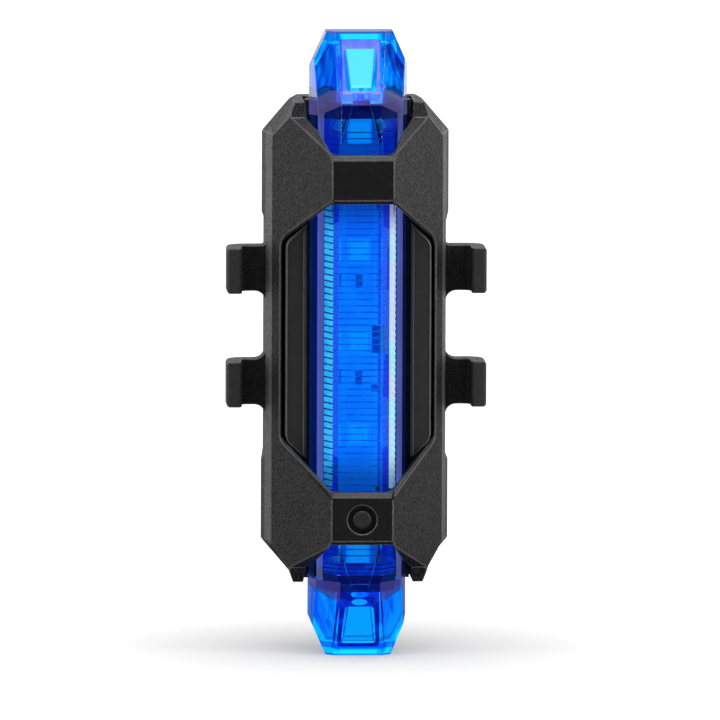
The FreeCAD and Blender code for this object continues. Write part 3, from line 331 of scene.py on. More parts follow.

# %% [markdown]
# ## Moulded black plastic
# The case is glass-filled nylon from a spark-eroded mould: nearly black, dull, with a fine
# even grain.  A photograph of such a surface would show its repeats, so two noises of
# different size make the grain instead, and its peaks are a little lighter and smoother.  The
# moulding's edges are rounded off, and they get a second, brighter finish: a painted highlight.

# %% Finish for moulded parts
def spark_grained(name, colour, rough, deep, worn=0.0, size=0.2, contrast=1.6, spread=0.0,
                  zones=None):
    """Dull plastic with the fine grain of an eroded mould, so many millimetres deep.

    Its colour runs from (0.5 - spread) to (1.5 + spread) times the given one, plus worn on the
    peaks.  Zones is a function that changes colour, dullness and height at places of its own.
    """
    finish = Finish(name)
    fine, broad = finish.grain(size, 3.0, 0.65), finish.grain(size * 14, 2.0)
    peaks = finish.ramp(fine, 0.5 - 0.24 / contrast, 0.5 + 0.24 / contrast)
    valley = [c * (0.5 - spread) for c in colour]
    peak = [min(1, c * (1.5 + spread) + worn) for c in colour]
    tone = finish.blend(peaks * 0.85 + broad * 0.3 - 0.08, valley, peak)
    dull, height = (1 - peaks) * 0.16 + (rough - 0.06) + broad * 0.06, fine
    if zones:
        tone, dull, height = zones(finish, peaks, tone, dull, height)
    return finish.close(finish.node("BsdfPrincipled", {}, {
        "Base Color": tone, "Roughness": dull, "Specular IOR Level": 0.5,
        "Normal": finish.bump(height, deep)}))


tray_black = spark_grained("tray_black", (0.031, 0.031, 0.032), 0.42, 0.03, size=0.1, contrast=0.6)
# Painted highlight: the edge finishes are lighter than the parts whose edges they cover.
tray_edge_highlight = spark_grained("tray_edge_highlight", (0.09, 0.09, 0.092), 0.34, 0.01, size=0.1, contrast=0.6)
case_edge_highlight = spark_grained("case_edge_highlight", (0.07, 0.07, 0.072), 0.4, 0.04, worn=0.01)
print("moulded finishes")

# %% [markdown]
# ## Places on the case that differ
# One even black would look painted.  Here the case is painted darker near the middle's height,
# where the hooks' arms lie, as painted shade; the hooks' lips are lighter grey; the flat bands
# are a little smoother and painted darker, painted shade; and the narrow side faces are painted
# pale, painted light from the side.  Separate pieces would show seams that the real moulding
# doesn't have, so one finish does it all, by where a point lies on the case.

# %% Zones of the case
BAND_FACE = box_mm("front_frame")[0][1]  # the bands' faces lie furthest forward
BAND_HALF = 3.55        # half width of their flat part
FLANK = (10.08, 10.9)   # the side faces lie between these distances from the middle plane
FLANK_BACK = 4.2        # and in front of this depth
LIP = (13.0, 13.5)      # the hooks' lips begin here
SHADED = (7.0, 15.0)    # the hooks' arms lie nearer the middle's height than this


def case_zones(finish, peaks, tone, dull, height):
    """Painted shade near the middle's height, lighter lips, smoother bands painted darker as shade,
    and flanks painted pale as side light.
    """
    across, depth, up = finish.place()[1]
    side = abs(across)
    # Painted shade: towards the middle's height, between the hooks, the whole case darkens.
    tone = finish.blend(finish.ramp(abs(up - MIDDLE), *SHADED, 0.5, 0.0), tone, (0.002,) * 3)
    # The hooks' lips are made lighter grey.
    tone = finish.blend(finish.ramp(side, *LIP, 0.0, 0.4), tone, (0.06, 0.06, 0.062))
    # Painted shade: the bands' faces are made darker; their lower roughness and shallower grain are
    # real.
    band = (side < BAND_HALF) * (depth < BAND_FACE + 1.2)
    tone = finish.blend(band, tone, (0.008,) * 3)
    # Painted light: the narrow side faces are made pale, as if lit from the side.
    flank = (side > FLANK[0]) * (side < FLANK[1]) * (depth < FLANK_BACK)
    pale = finish.blend(peaks, (0.07, 0.07, 0.071), (0.13, 0.13, 0.132))
    return (finish.blend(flank * 0.8, tone, pale), dull * (1 - band * 0.2),
            height * (1 - band * 0.5))


case_black = spark_grained("case_black", (0.014, 0.014, 0.0146), 0.5, 0.16, size=0.27,
                           contrast=2.4, spread=0.45, zones=case_zones)
print("case finish, band faces at", BAND_FACE)

# %% [markdown]
# ## Soft edges on the moulded parts
# The frame's parts have the right shape but razor-sharp edges, and real mouldings never do.
# A copy of each mesh is taken, its loose triangles are merged and flat regions joined, and a
# Bevel modifier rounds every edge sharper than a limit by about a tenth of a millimetre.  It
# gives the faces that it makes the brighter edge finish, a painted highlight.  The copy then
# stands for the original, which stays in the file unseen and unchanged.

# %% Copies with soft edges
def softened(node, name, body, finishes, width, steps=2, limit=28, flat=0.6, crease=30):
    """Merged copy of a frame node with rounded edges, riding on its body in the node's place.

    Angles are in degrees: faces flatter to each other than flat are joined, edges sharper than
    the limit are rounded, and edges sharper than the crease still part two flats.
    """
    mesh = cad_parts[node].data.copy()
    mesh.name = name
    form = bmesh.new()
    form.from_mesh(mesh)
    bmesh.ops.remove_doubles(form, verts=form.verts, dist=0.002 * MM)
    bmesh.ops.dissolve_limit(form, angle_limit=math.radians(flat), verts=form.verts,
                             edges=form.edges)
    form.to_mesh(mesh)
    form.free()
    mesh.materials.clear()
    for finish in finishes:
        mesh.materials.append(finish)
    count = len(mesh.polygons)
    mesh.polygons.foreach_set("material_index", np.zeros(count, np.int32))
    mesh.polygons.foreach_set("use_smooth", np.ones(count, bool))
    mesh.set_sharp_from_angle(angle=math.radians(crease))
    piece = bpy.data.objects.new(name, mesh)
    scene.collection.objects.link(piece)
    edges = piece.modifiers.new("soft edges", "BEVEL")
    edges.width, edges.segments = width * MM, steps
    edges.limit_method, edges.angle_limit = "ANGLE", math.radians(limit)
    edges.use_clamp_overlap, edges.harden_normals = False, False
    edges.material = 1 if len(finishes) > 1 else -1
    shade = piece.modifiers.new("flat faces", "WEIGHTED_NORMAL")
    shade.mode, shade.weight, shade.keep_sharp = "FACE_AREA", 100, crease < limit
    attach(piece, body)
    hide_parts(node)
    print(name, count, "faces before the edges")


case_finishes = [case_black, case_edge_highlight]
softened("front_frame", "front_moulding", "casing", case_finishes, 0.13, crease=10)
softened("rear_cover", "rear_moulding", "casing", case_finishes, 0.12, crease=10)
softened("inner_housing", "inner_tray", "casing", [tray_black, tray_edge_highlight], 0.06)

# %% [markdown]
# ## The clear blue lens
# The lens is clear acrylic with blue dye all through it.  It stays a hollow solid with real
# walls, so light bends at each of its faces, and the dye is an absorption inside the plastic:
# thin walls look pale cyan, and the long way along a wall looks navy.  Its thick ends are
# moulded over small inner forms, which the picture shows as streaks and fields of other
# blues.  Modelling them all would cost more than it shows, so they are dyed into the surface.
# Part of that surface dye is painted light: lavender streaks are painted glints, and the right
# half of each end is dyed darker as painted shade.

# %% Dye of the lens's ends
END_REACH = (27.4, 28.6)  # the thick ends' dye sets in between these heights from the middle
FACET_HALF = 2.35         # half width of the front facet
SLANT_OUT = 5.25          # beyond this the outermost facets begin
PANE_HALF, PANE_LOW = 2.2, 29.9   # window in each end: half width and lower edge
CAP_UP, CAP_DOWN = 36.72, 36.8    # the flat ends of the tips, above and below
BAR = (35.4, 36.1, 3.2)   # dark bar by the lower tip's end: from, to, half width


def end_dye(finish, spot, across, away, side, upper):
    """Dye of the thick ends: streaks along the light with painted glints, a right half darker as
    painted shade, caps, a bar and clear windows.
    """
    stretched = finish.node("VectorMath", {"operation": "MULTIPLY"}, {0: spot, 1: (1.0, 1.0, 0.22)})

    def streaks(scale, low, high):
        noise = finish.node("TexNoise", {}, {"Vector": stretched, "Scale": scale, "Detail": 1.0})
        return finish.ramp(noise, low, high)

    # The violet streaks are painted glints.
    bright, violet = streaks(0.75, 0.36, 0.54), streaks(1.3, 0.62, 0.68)
    # Painted shade: the right half (x > 0) takes a darker blue.
    deep = finish.blend(across > 0, (0.01, 0.10, 0.6), (0.005, 0.03, 0.3))
    above = finish.blend(bright, deep, (0.01, 0.60, 1.0))
    below = finish.blend(bright, (0.03, 0.24, 0.90), (0.02, 0.56, 1.0))
    dye = finish.blend(violet, finish.blend(upper, below, above), (0.12, 0.16, 0.8))
    dye = finish.blend(side > SLANT_OUT, dye, (0.10, 0.16, 0.85))
    bar = (away > BAR[0]) * (away < BAR[1]) * (side < BAR[2])
    foot = (bar + (away > CAP_DOWN)) * (1 - upper)
    dye = finish.blend(foot, dye, (0.0, 0.08, 0.7))
    cap = ((away > CAP_UP) + (side > 2.5) * (away > 35.9)) * upper
    dye = finish.blend(cap, dye, (0.06, 0.07, 0.5))
    pane = (side < PANE_HALF) * (away > PANE_LOW) * (1 - cap) * (1 - foot)
    return finish.blend(pane, dye, finish.blend(upper, (0.06, 0.60, 1.0), (1.0, 0.94, 1.0)))


print("ends are dyed from", END_REACH[0], "mm off the middle")

# %% [markdown]
# ## Frosted places
# Along its long side edges and near its end walls the lens is a little rough from the mould,
# and spreads the blue light as a violet haze.  True roughness there would blur all that lies
# behind and take many rays.  A faint glow and a darker dye give the same look for less.

# %% Frosted places of the lens
EDGE = (4.33, 5.02)       # the long side edges are frosted between these


def end_zone(finish, away, side, top, bottom):
    """1 on an end's facets between two lines, each given as height, start and fall.

    A line lies at height - fall * (side - start), and is level nearer than its start.
    """
    upper = top[0] - (side - top[1]).larger(0) * top[2]
    lower = bottom[0] - (side - bottom[1]).larger(0) * bottom[2]
    return (away < upper) * (away > lower)


def frosting(finish, away, side, upper, end):
    """Where the surface is frosted: along the side edges, and in fields near the end walls."""
    beyond_edge = (1 - end) * (side > EDGE[0])
    cloud = finish.ramp(finish.grain(6.0, 1.0), 0.3, 0.7, 0.8, 1.0)
    above = upper * end_zone(finish, away, side, (30.2, 3.6, 0.7), (28.6, FACET_HALF, 0.55))
    below = end_zone(finish, away, side, (30.4, FACET_HALF, 0.55), (27.9, FACET_HALF, 0.0))
    misty = above.larger((1 - upper) * below)
    return beyond_edge, beyond_edge * (side < EDGE[1]) * cloud, misty


print("side edges are frosted over", round(EDGE[1] - EDGE[0], 2), "mm")

# %% The lens's finish, and its body
def dyed_clear(name, passed, loss):
    """Clear plastic that loses so much light per metre, except the passed share of each colour.

    The surface takes the dye of the ends, and its frosted places shine violet.
    """
    finish = Finish(name)
    spot, (across, depth, up) = finish.place()
    away, side, upper = abs(up - MIDDLE), abs(across), up > MIDDLE
    end = finish.ramp(away, *END_REACH)
    beyond_edge, frost, misty = frosting(finish, away, side, upper, end)
    dye = finish.blend(end, (1, 1, 1), end_dye(finish, spot, across, away, side, upper))
    edge_dye = finish.blend(side > EDGE[1], (0.10, 0.14, 0.3), (0.03, 0.04, 0.12))
    dye = finish.blend(beyond_edge, dye, edge_dye)
    dye = finish.blend(misty * (side > FACET_HALF), dye, (0.06, 0.06, 0.14))
    shine = finish.blend(frost, (0, 0, 0), (0.07, 0.08, 0.22))
    mist = finish.blend(upper, (0.035, 0.028, 0.14), (0.065, 0.052, 0.15))
    shine = finish.blend(misty, shine, mist)
    shine = finish.blend((side < FACET_HALF) * (1 - upper), shine, (0, 0, 0))
    clear = finish.node("BsdfPrincipled", {}, {
        "Base Color": dye, "Roughness": 0.0, "IOR": 1.49, "Transmission Weight": 1.0,
        "Emission Color": shine, "Emission Strength": 1.0})
    # The tips' top faces are partly a rough navy surface; its faint glow is painted light.
    ground = finish.node("BsdfPrincipled", {}, {
        "Base Color": (0.02, 0.03, 0.25, 1), "Roughness": 0.6,
        "Emission Color": (0.012, 0.02, 0.16, 1), "Emission Strength": 1.0})
    top_face = upper * (away > CAP_UP) * 0.65
    inside = finish.node("VolumeAbsorption", {}, {"Color": (*passed, 1), "Density": loss})
    return finish.close(finish.node("MixShader", {}, {0: top_face, 1: clear, 2: ground}), inside)


lens_blue = dyed_clear("lens_blue", (0.0, 0.93, 1.0), 1000.0)
softened("lens", "lens_shell", "casing", [lens_blue], 0.08)

# %% [markdown]
# ## Surfaces drawn as loops
# The small parts that the frame only blocks out are drawn new.  Each is a row of closed loops
# of points, worked out together as one array: neighbouring loops are joined by quads and the
# two end loops are closed by caps.  A turned part, a bar and a ribbed pad all fit this, and no
# point has to be placed by hand.

# %% Skin over a row of loops
def loop_skin(name, loops, finish, body, smooth=True, node=None, sharp=35,
              ring=False):
    """Piece whose surface joins loop i to loop i + 1; several rows of loops make one piece.

    In a ring the last loop is joined to the first, otherwise both end loops get a cap.
    """
    points, faces, start = [], [], 0
    for rows in loops:
        count, around = rows.shape[:2]
        all_loops = start + np.arange(count * around).reshape(count, around)
        here = all_loops if ring else all_loops[:-1]
        above = np.roll(all_loops, -1, axis=0) if ring else all_loops[1:]
        quads = np.stack([here, np.roll(here, -1, axis=1), np.roll(above, -1, axis=1), above],
                         axis=-1)
        faces += quads.reshape(-1, 4).tolist()
        faces += [] if ring else [all_loops[0][::-1].tolist(), all_loops[-1].tolist()]
        points.append(rows.reshape(-1, 3))
        start += count * around
    mesh = bpy.data.meshes.new(name)
    mesh.from_pydata((np.concatenate(points) * MM).tolist(), [], faces)
    form = bmesh.new()
    form.from_mesh(mesh)
    bmesh.ops.recalc_face_normals(form, faces=form.faces)
    form.to_mesh(mesh)
    form.free()
    mesh.materials.append(finish)
    mesh.polygons.foreach_set("use_smooth", np.full(len(mesh.polygons), smooth))
    mesh.set_sharp_from_angle(angle=math.radians(sharp))
    piece = bpy.data.objects.new(name, mesh)
    scene.collection.objects.link(piece)
    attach(piece, body)
    if node:
        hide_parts(node)
    print(name, len(mesh.polygons), "faces")


print("loops can be skinned")

# %% [markdown]
# ## Beads round the shoulder panels
# In the window beside the lens lie two flat black panels, and a fine raised bead follows
# their outer edge: straight, then an arc, then slanting in towards the bands.  The mould cuts
# it as one round groove.  Here a small circle is carried along the same line.

# %% Two beads
PANEL_SIDE = box_mm("inner_housing")[1][0]
PANEL_ROUND = 1.6       # radius of the panel's bends
PANEL_BEND = 11.07      # height of the arcs' middle, off the light's middle
PANEL_SLANT = 1.55      # how far the bead runs inwards after the arc
PANEL_FACE = -1.9       # depth of the panels


def bead_loops(side, thick=0.085, inset=0.16):
    """Round bar along a panel's edge: straight, an arc of an eighth turn, then 45 degrees in."""
    bend = np.linspace(0, np.pi / 4, 9)
    middle = np.array([PANEL_SIDE - PANEL_ROUND, PANEL_BEND])
    arc = middle + (PANEL_ROUND - inset) * np.column_stack([np.cos(bend), np.sin(bend)])
    run = np.concatenate([arc, [arc[-1] + (-PANEL_SLANT, PANEL_SLANT)]])
    run = np.concatenate([run[::-1] * (1, -1), run])[:, ::-1]  # as height and x
    ahead = np.gradient(run, axis=0)
    ahead /= np.linalg.norm(ahead, axis=1)[:, None]
    turn = np.linspace(0, 2 * np.pi, 10, endpoint=False)
    flat, proud = thick * np.stack([np.cos(turn), np.sin(turn)])
    tall = run[:, :1] - ahead[:, 1:] * flat
    wide = run[:, 1:] + ahead[:, :1] * flat
    deep = np.broadcast_to(PANEL_FACE - 0.01 + proud, wide.shape)
    return np.stack([side * wide, deep, MIDDLE + tall], axis=-1)


# The bead is coloured light grey, a painted highlight along the panel's edge.
bead_highlight_grey = spark_grained("bead_highlight_grey", (0.10, 0.10, 0.102), 0.34, 0.01, size=0.1, contrast=0.6)
loop_skin("panel_beads", [bead_loops(-1), bead_loops(1)], bead_highlight_grey, "casing")

# %% [markdown]
# ## Ribs and two glowing strips in the lens
# Fine ribs run across the lens every three quarters of a millimetre and spread the lamps'
# light; they glow in the lens's blue, painted light.  Two strips lie against the slanted walls
# and glow: the left one shows as a bright ladder, painted light, and the right one as a pale
# strip with a toothed edge, a painted reflection of a soft box.  Ribs and strips are drawn just
# inside the walls.

# %% Numbers of the lens's inside
RIB_PITCH = 0.76
RIB_REACH = 25.6        # the ribs end this far from the middle
STRIP_REACH = 17.0      # and the glowing strips this far
INNER_FRONT = np.array([2.295, -6.2])   # inner corner of the front wall, as x and y
INNER_SIDE = np.array([3.955, -4.184])  # inner corner of the slanted wall
SLANT = float(np.linalg.norm(INNER_SIDE - INNER_FRONT))
ALONG = (INNER_SIDE - INNER_FRONT) / SLANT
INWARD = np.array([-ALONG[1], ALONG[0]])
print("slanted wall", round(SLANT, 2), "mm")


# %% Finishes that glow
def lit(finish, colour, rough, own=0.04):
    """Glows in its colour, and throws back its own share of it from light that falls on it."""
    return finish.close(finish.node("BsdfPrincipled", {}, {
        "Base Color": finish.blend(1 - own, colour, (0, 0, 0)), "Roughness": rough,
        "Emission Color": colour, "Emission Strength": 1.0}))


def shaded_ends(finish, up, colour):
    """The colour, darker towards the bands and beyond them, where less light comes in."""
    return finish.blend(finish.ramp(abs(up - MIDDLE), 12.4, 16.6, 0.0, 0.62), colour, (0, 0, 0.12))


def glowing(name, first, second, size, line=None, rough=0.35, beside=None):
    """Lit plastic that changes between two colours over so many millimetres.

    Lines across it are given as pitch, share of the pitch, slope and colour; beside is the
    colour to the left and right of the lamps.
    """
    finish = Finish(name)
    across, depth, up = finish.place()[1]
    colour = finish.blend(finish.ramp(finish.grain(size), 0.35, 0.65), first, second)
    if line:
        pitch, share, slope, dark = line
        beat = (up + across * slope) / pitch % 1.0
        broken = finish.ramp(finish.grain(1.4), 0.3, 0.5, 0.5, 1.0)
        colour = finish.blend((beat < share) * broken, colour, dark)
    if beside:
        colour = finish.blend(finish.ramp(abs(across), 2.3, 2.45), colour, beside)
    return lit(finish, shaded_ends(finish, up, colour), rough)


rib_blue = glowing("rib_blue", (0.0, 0.06, 0.72), (0.0, 0.16, 1.0), 1.6, rough=0.6,
                   beside=(0, 0.02, 0.5))
ladder_cyan = glowing("ladder_cyan", (0.06, 0.42, 0.95), (0.15, 0.52, 1.0), 1.2,
                      line=(RIB_PITCH, 0.24, 0.12, (0.0, 0.02, 0.07)))
reflection_strip_white = glowing("reflection_strip_white", (2.3, 0.84, 1.0), (1.5, 0.98, 1.0), 3.0,
                      line=(RIB_PITCH, 0.12, 0.0, (1.6, 0.7, 1.0)))
print("glowing finishes")


# %% Ribs across the lens
RIB_SECTION = [(0.03, -0.07), (0.15, 0.0), (0.03, 0.07)]  # three corners of a rib


def wall_loops(section, high, share):
    """Bar along the inner walls; its section is given as distances from the wall and heights.

    It covers the given share of the way from the middle to each outer corner.
    """
    path = np.array([-INNER_SIDE * (1, -1), -INNER_FRONT * (1, -1), INNER_FRONT, INNER_SIDE])
    path = path * np.array([share, 1, 1, share])[:, None]
    inward = np.array([-INWARD * (1, -1), (0, 1), (0, 1), INWARD])
    corners = [np.column_stack([path + inward * deep, np.full(4, high + rise)])
               for deep, rise in section]
    return np.stack(corners, axis=1)


rib_heights = MIDDLE + np.arange(-RIB_REACH + RIB_PITCH, RIB_REACH, RIB_PITCH)
loop_skin("lens_ribs", [wall_loops(RIB_SECTION, high, 0.94) for high in rib_heights], rib_blue,
          "casing", smooth=False)


# %% The two glowing strips
def toothed_strip_loops(side, start, end, teeth, near=0.05, thick=0.2):
    """A flat bar between two places on the slanted wall; its outer edge is cut into teeth.

    At height t the outer edge moves in by teeth * |2 (t / pitch mod 1) - 1|.
    """
    heights = np.arange(-STRIP_REACH, STRIP_REACH, RIB_PITCH / 4)
    inner = np.full(len(heights), start)
    outer = end - teeth * (np.abs(heights / RIB_PITCH % 1.0 - 0.5) * 2)
    far = near + thick
    corners = []
    for along, deep in ((inner, near), (outer, near), (outer, far), (inner, far)):
        flat = INNER_FRONT + along[:, None] * ALONG + deep * INWARD
        corners.append(np.column_stack([flat[:, 0] * side, flat[:, 1], MIDDLE + heights]))
    return np.stack(corners, axis=1)


loop_skin("ladder_glow_left", [toothed_strip_loops(-1, 1.3, 2.55, 0.08)], ladder_cyan, "casing", smooth=False)
loop_skin("reflection_strip_right", [toothed_strip_loops(1, 1.7, 2.57, 0.2)], reflection_strip_white, "casing", smooth=False)

# %% [markdown]
# ## Collars in the lens
# Where the case's end walls meet the lens, its seal shows through as a dark navy collar.  At
# the lower end a violet band lies under the collar, and a bright blue bar above it, where the
# light of the lowest lamp gathers.  They could be dyed into the lens like its ends, but they
# lie behind the wall and shift against it, so each is a flat band that follows the inner
# walls, made with the ribs' own function.

# %% Dark collars where the case's end walls meet the lens
def collar_loops(low, high, near=0.06, thick=0.1):
    """Flat band along the inner walls between two heights off the light's middle."""
    section = [(near, low), (near + thick, low), (near + thick, high), (near, high)]
    return wall_loops(section, MIDDLE, 0.97)


# The collars, the violet band and the blue bar glow faintly in their colours: painted light.
collar_navy = glowing("collar_navy", (0.002, 0.003, 0.05), (0.006, 0.01, 0.10), 2.0)
collar_violet = glowing("collar_violet", (0.03, 0.02, 0.16), (0.07, 0.05, 0.26), 2.0)
foot_blue = glowing("foot_blue", (0.0, 0.03, 0.7), (0.0, 0.10, 1.2), 1.5,
                    line=(0.5, 0.3, 0.0, (0, 0, 0.3)))
loop_skin("lens_collars", [collar_loops(26.9, 28.7), collar_loops(-28.2, -27.2)], collar_navy,
          "casing", smooth=False)
loop_skin("lens_foot_band", [collar_loops(-29.15, -28.25)], collar_violet, "casing", smooth=False)
loop_skin("lens_foot_light", [collar_loops(-27.15, -25.7, near=0.16)], foot_blue, "casing",
          smooth=False)

# %% [markdown]
# ## Windows in the lens's ends
# Each end of the lens has a small see-through window with round corners; the plastic round it
# is thick and looks deep violet.  A frame behind the sloping wall gives this, and it glows in
# its colours, painted light, with brighter painted spots at the feet of moulded pegs: two
# outlines, one inside the other, on a plane that leans with the wall.  The outlines are
# superellipses, where x and t are the cosine and sine of an angle, raised to a small power so
# that corners fill out.
# Cutting the window out of the lens would change the part; a frame of its own doesn't.

# %% Frames round the end windows
WALL_FOOT = np.array([-6.2, 28.9])       # where the sloping wall begins, as y and height
WALL_RISE = np.array([0.4264, 0.9045])   # its direction, as y and height
RIM_OUTER = (2.3, 2.5, 29.1, 35.9, 0.12)  # half widths, heights and corner power
RIM_DEPTHS = (0.12, 0.22)                # the frame's front and back behind the wall


def rim_outline(half_low, half_high, low, high, power, deep, sign):
    """Outline on the sloping plane, with one half width at its low end and one at its high."""
    angle = np.linspace(0, 2 * np.pi, 64, endpoint=False)
    wave = np.stack([np.cos(angle), np.sin(angle)])
    filled = np.sign(wave) * np.abs(wave) ** power
    share = (filled[1] + 1) / 2
    across = filled[0] * (half_low + (half_high - half_low) * share)
    reach = low + (high - low) * share
    slide = (reach - WALL_FOOT[1]) / WALL_RISE[1]
    depth = WALL_FOOT[0] + slide * WALL_RISE[0] + deep * WALL_RISE[1]
    return np.column_stack([across, depth, MIDDLE + sign * (reach - deep * WALL_RISE[0])])


def window_rim(sign, half_low, half_high, low, high):
    """Four loops: outer and inner outline in front, inner and outer behind."""
    inner, (front, back) = (half_low, half_high, low, high, 0.16), RIM_DEPTHS
    return np.stack([rim_outline(*outline, deep, sign) for outline, deep in (
        (RIM_OUTER, front), (inner, front), (inner, back), (RIM_OUTER, back))])


def rim_finish(name, first, second, spots, bright):
    """Glowing frame with bright elliptical spots, the feet of moulded pegs."""
    finish = Finish(name)
    across, depth, up = finish.place()[1]
    tone = finish.blend(finish.ramp(finish.grain(1.3), 0.35, 0.65), first, second)
    for height, wide, tall in spots:
        wide_part, tall_part = across / wide, (up - MIDDLE - height) / tall
        reach = wide_part * wide_part + tall_part * tall_part
        tone = finish.blend(finish.ramp(reach, 1.25, 0.8), tone, bright)
    return lit(finish, tone, 0.35)


rim_upper = rim_finish("rim_upper", (0.65, 0.22, 1.3), (0.95, 0.32, 1.7),
                       [(29.45, 0.8, 0.32)], (0.4, 0.7, 1.8))
rim_lower = rim_finish("rim_lower", (0.02, 0.01, 0.3), (0.03, 0.05, 0.75),
                       [(-29.45, 1.0, 0.4), (-30.4, 0.9, 0.38)], (0.1, 0.7, 2.0))
loop_skin("rim_top", [window_rim(1, 1.8, 2.0, 30.1, 34.85)], rim_upper, "casing", ring=True)
loop_skin("rim_bottom", [window_rim(-1, 1.7, 2.05, 31.0, 35.5)], rim_lower, "casing", ring=True)

# %% [markdown]
# ## Lamp board
# Behind the ribs lies the lamp board with five square lamp chips and small parts round them.
# Through the lens the board reads as bright blue and the chips as lighter squares.  Lamps
# behind a dyed lens would need strong light and many rays, so board and chips glow slightly in
# the lens's colour instead: brighter towards the middle of the light, and deeper beside the
# chips.  The chips are small boxes with a pale window sunk in a white rim.

# %% Board, chips and small parts
CHIPS_AWAY = (10.8, 25.0)  # besides the middle chip, two lie this far above and two below it
CHIP_WINDOW = 1.1          # half width of the pale window


def dress(node, finish):
    """Gives a frame node that stays in sight its finish."""
    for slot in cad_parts[node].material_slots:
        slot.material = finish


def board_finish(name):
    """Solder mask seen through the blue: lighter low in the window, copper tracks, deep sides."""
    finish = Finish(name)
    across, depth, up = finish.place()[1]
    low = finish.ramp(up, MIDDLE + 13, MIDDLE + 4)
    tone = finish.blend(low, (0.0, 0.15, 1.0), (0.0, 0.22, 1.04))
    patch = finish.ramp(finish.grain(5.0), 0.4, 0.7, 0.0, 0.5)
    tone = finish.blend(patch, tone, (0.0, 0.13, 0.95))
    tracks = (abs(across - 1.9) < 0.12).larger(abs(across + 1.75) < 0.1)
    tracks = tracks * finish.ramp(finish.grain(9.0, 1.0), 0.45, 0.5)
    tone = finish.blend(tracks * 0.35, tone, (0.0, 0.3, 1.0))
    sides = finish.ramp(abs(across), 2.25, 2.4, 0.0, 0.95)
    tone = shaded_ends(finish, up, finish.blend(sides, tone, (0.0, 0.035, 0.9)))
    return lit(finish, tone, finish.grain(0.6) * 0.2 + 0.3, own=0.1)


def chip_finish(name):
    """White rim and a phosphor window, told apart by the distance from each chip's middle."""
    finish = Finish(name)
    across, depth, up = finish.place()[1]
    away = offset = abs(up - MIDDLE)
    for middle in CHIPS_AWAY:
        offset = offset.smaller(abs(away - middle))
    cloud = finish.ramp(finish.grain(0.5), 0.2, 0.8, 0.6, 1.0)
    window = (abs(across).larger(offset) < CHIP_WINDOW) * cloud
    tone = finish.blend(window, (0.0, 0.23, 1.05), (0.0, 0.32, 1.05))
    tone = finish.blend((away > 20) * 0.15, tone, (0, 0.05, 0.2))
    return lit(finish, tone, 0.25, own=0.1)


dress("main_board", board_finish("board_blue"))
softened("led_chips", "lamp_chips", "casing", [chip_finish("chip_window")], 0.1)
# The small parts glow faintly too: painted light.
dress("led_resistors", glowing("resistor_dark", (0.0, 0.05, 0.5), (0.0, 0.09, 0.7), 0.5))
dress("driver_chip", glowing("driver_dark", (0.0, 0.03, 0.4), (0.0, 0.06, 0.55), 0.5))
print("lamp board dressed")

# %% [markdown]
# ## The button
# The push button is a turned black cap.  Its face is a shallow dish with a rounded rim, a
# flange behind the band keeps it from falling out, and a stem reaches down to the switch.
# A turned part is a profile of radius against depth, swept round the button's axis.  The
# frame's own cap has a flat face, and a dish catches the light as a crescent, as in the
# picture.

# %% Turned button
BUTTON_FACE = box_mm("button_cap")[0][1]
BUTTON_HIGH = box_mm("button_cap")[:, 2].mean()


def turned(profile, face, high, around=48):
    """Loops round an axis along Y, from pairs of radius and distance behind the face."""
    angle = np.linspace(0, 2 * np.pi, around, endpoint=False)
    radius, behind = np.array(profile, float).T[:, :, None]
    return np.stack([radius * np.cos(angle), np.broadcast_to(face + behind, (len(profile), around)),
                     high + radius * np.sin(angle)], axis=-1)


dish = [(0.02, 0.08), (0.3, 0.075), (0.55, 0.05), (0.7, 0.015)]
rim = [(0.8 + 0.3 * math.sin(a), 0.3 - 0.3 * math.cos(a)) for a in np.linspace(0, np.pi / 2, 7)]
neck = [(1.1, 0.85), (1.14, 0.93)]
flange = [(2.1, 0.95), (2.18, 0.98), (2.2, 1.05), (2.2, 1.55), (2.17, 1.62), (2.1, 1.65)]
stem = [(0.74, 1.65), (0.7, 1.69), (0.7, 6.45), (0.62, 6.55), (0.02, 6.55)]
button_black = spark_grained("button_black", (0.022, 0.022, 0.023), 0.42, 0.03, size=0.12)
loop_skin("button_turned", [turned(dish + rim + neck + flange + stem, BUTTON_FACE, BUTTON_HIGH)],
          button_black, "button", node="button_cap", sharp=50)

# %% [markdown]
# ## The rubber pad for the seat post
# The pad on the back is soft rubber, bent to the post's curve, and grooves in it grip the post
# and let water out.  Seen from behind they form arrows.  Cutting them as solids would cost many
# small cuts, so the pad is drawn new.  Each row of it is one closed loop: along the post side
# with the grooves cut in, and back along the side glued to the case.

# %% Pad with arrow grooves
POST_AXIS = 21.22       # depth of the post's axis
POST_RADIUS = 13.6
PAD_THICK = 1.0
GROOVE_DEEP = 0.4
GROOVE_PITCH = 2.9
GROOVE_SLOPE = 0.6


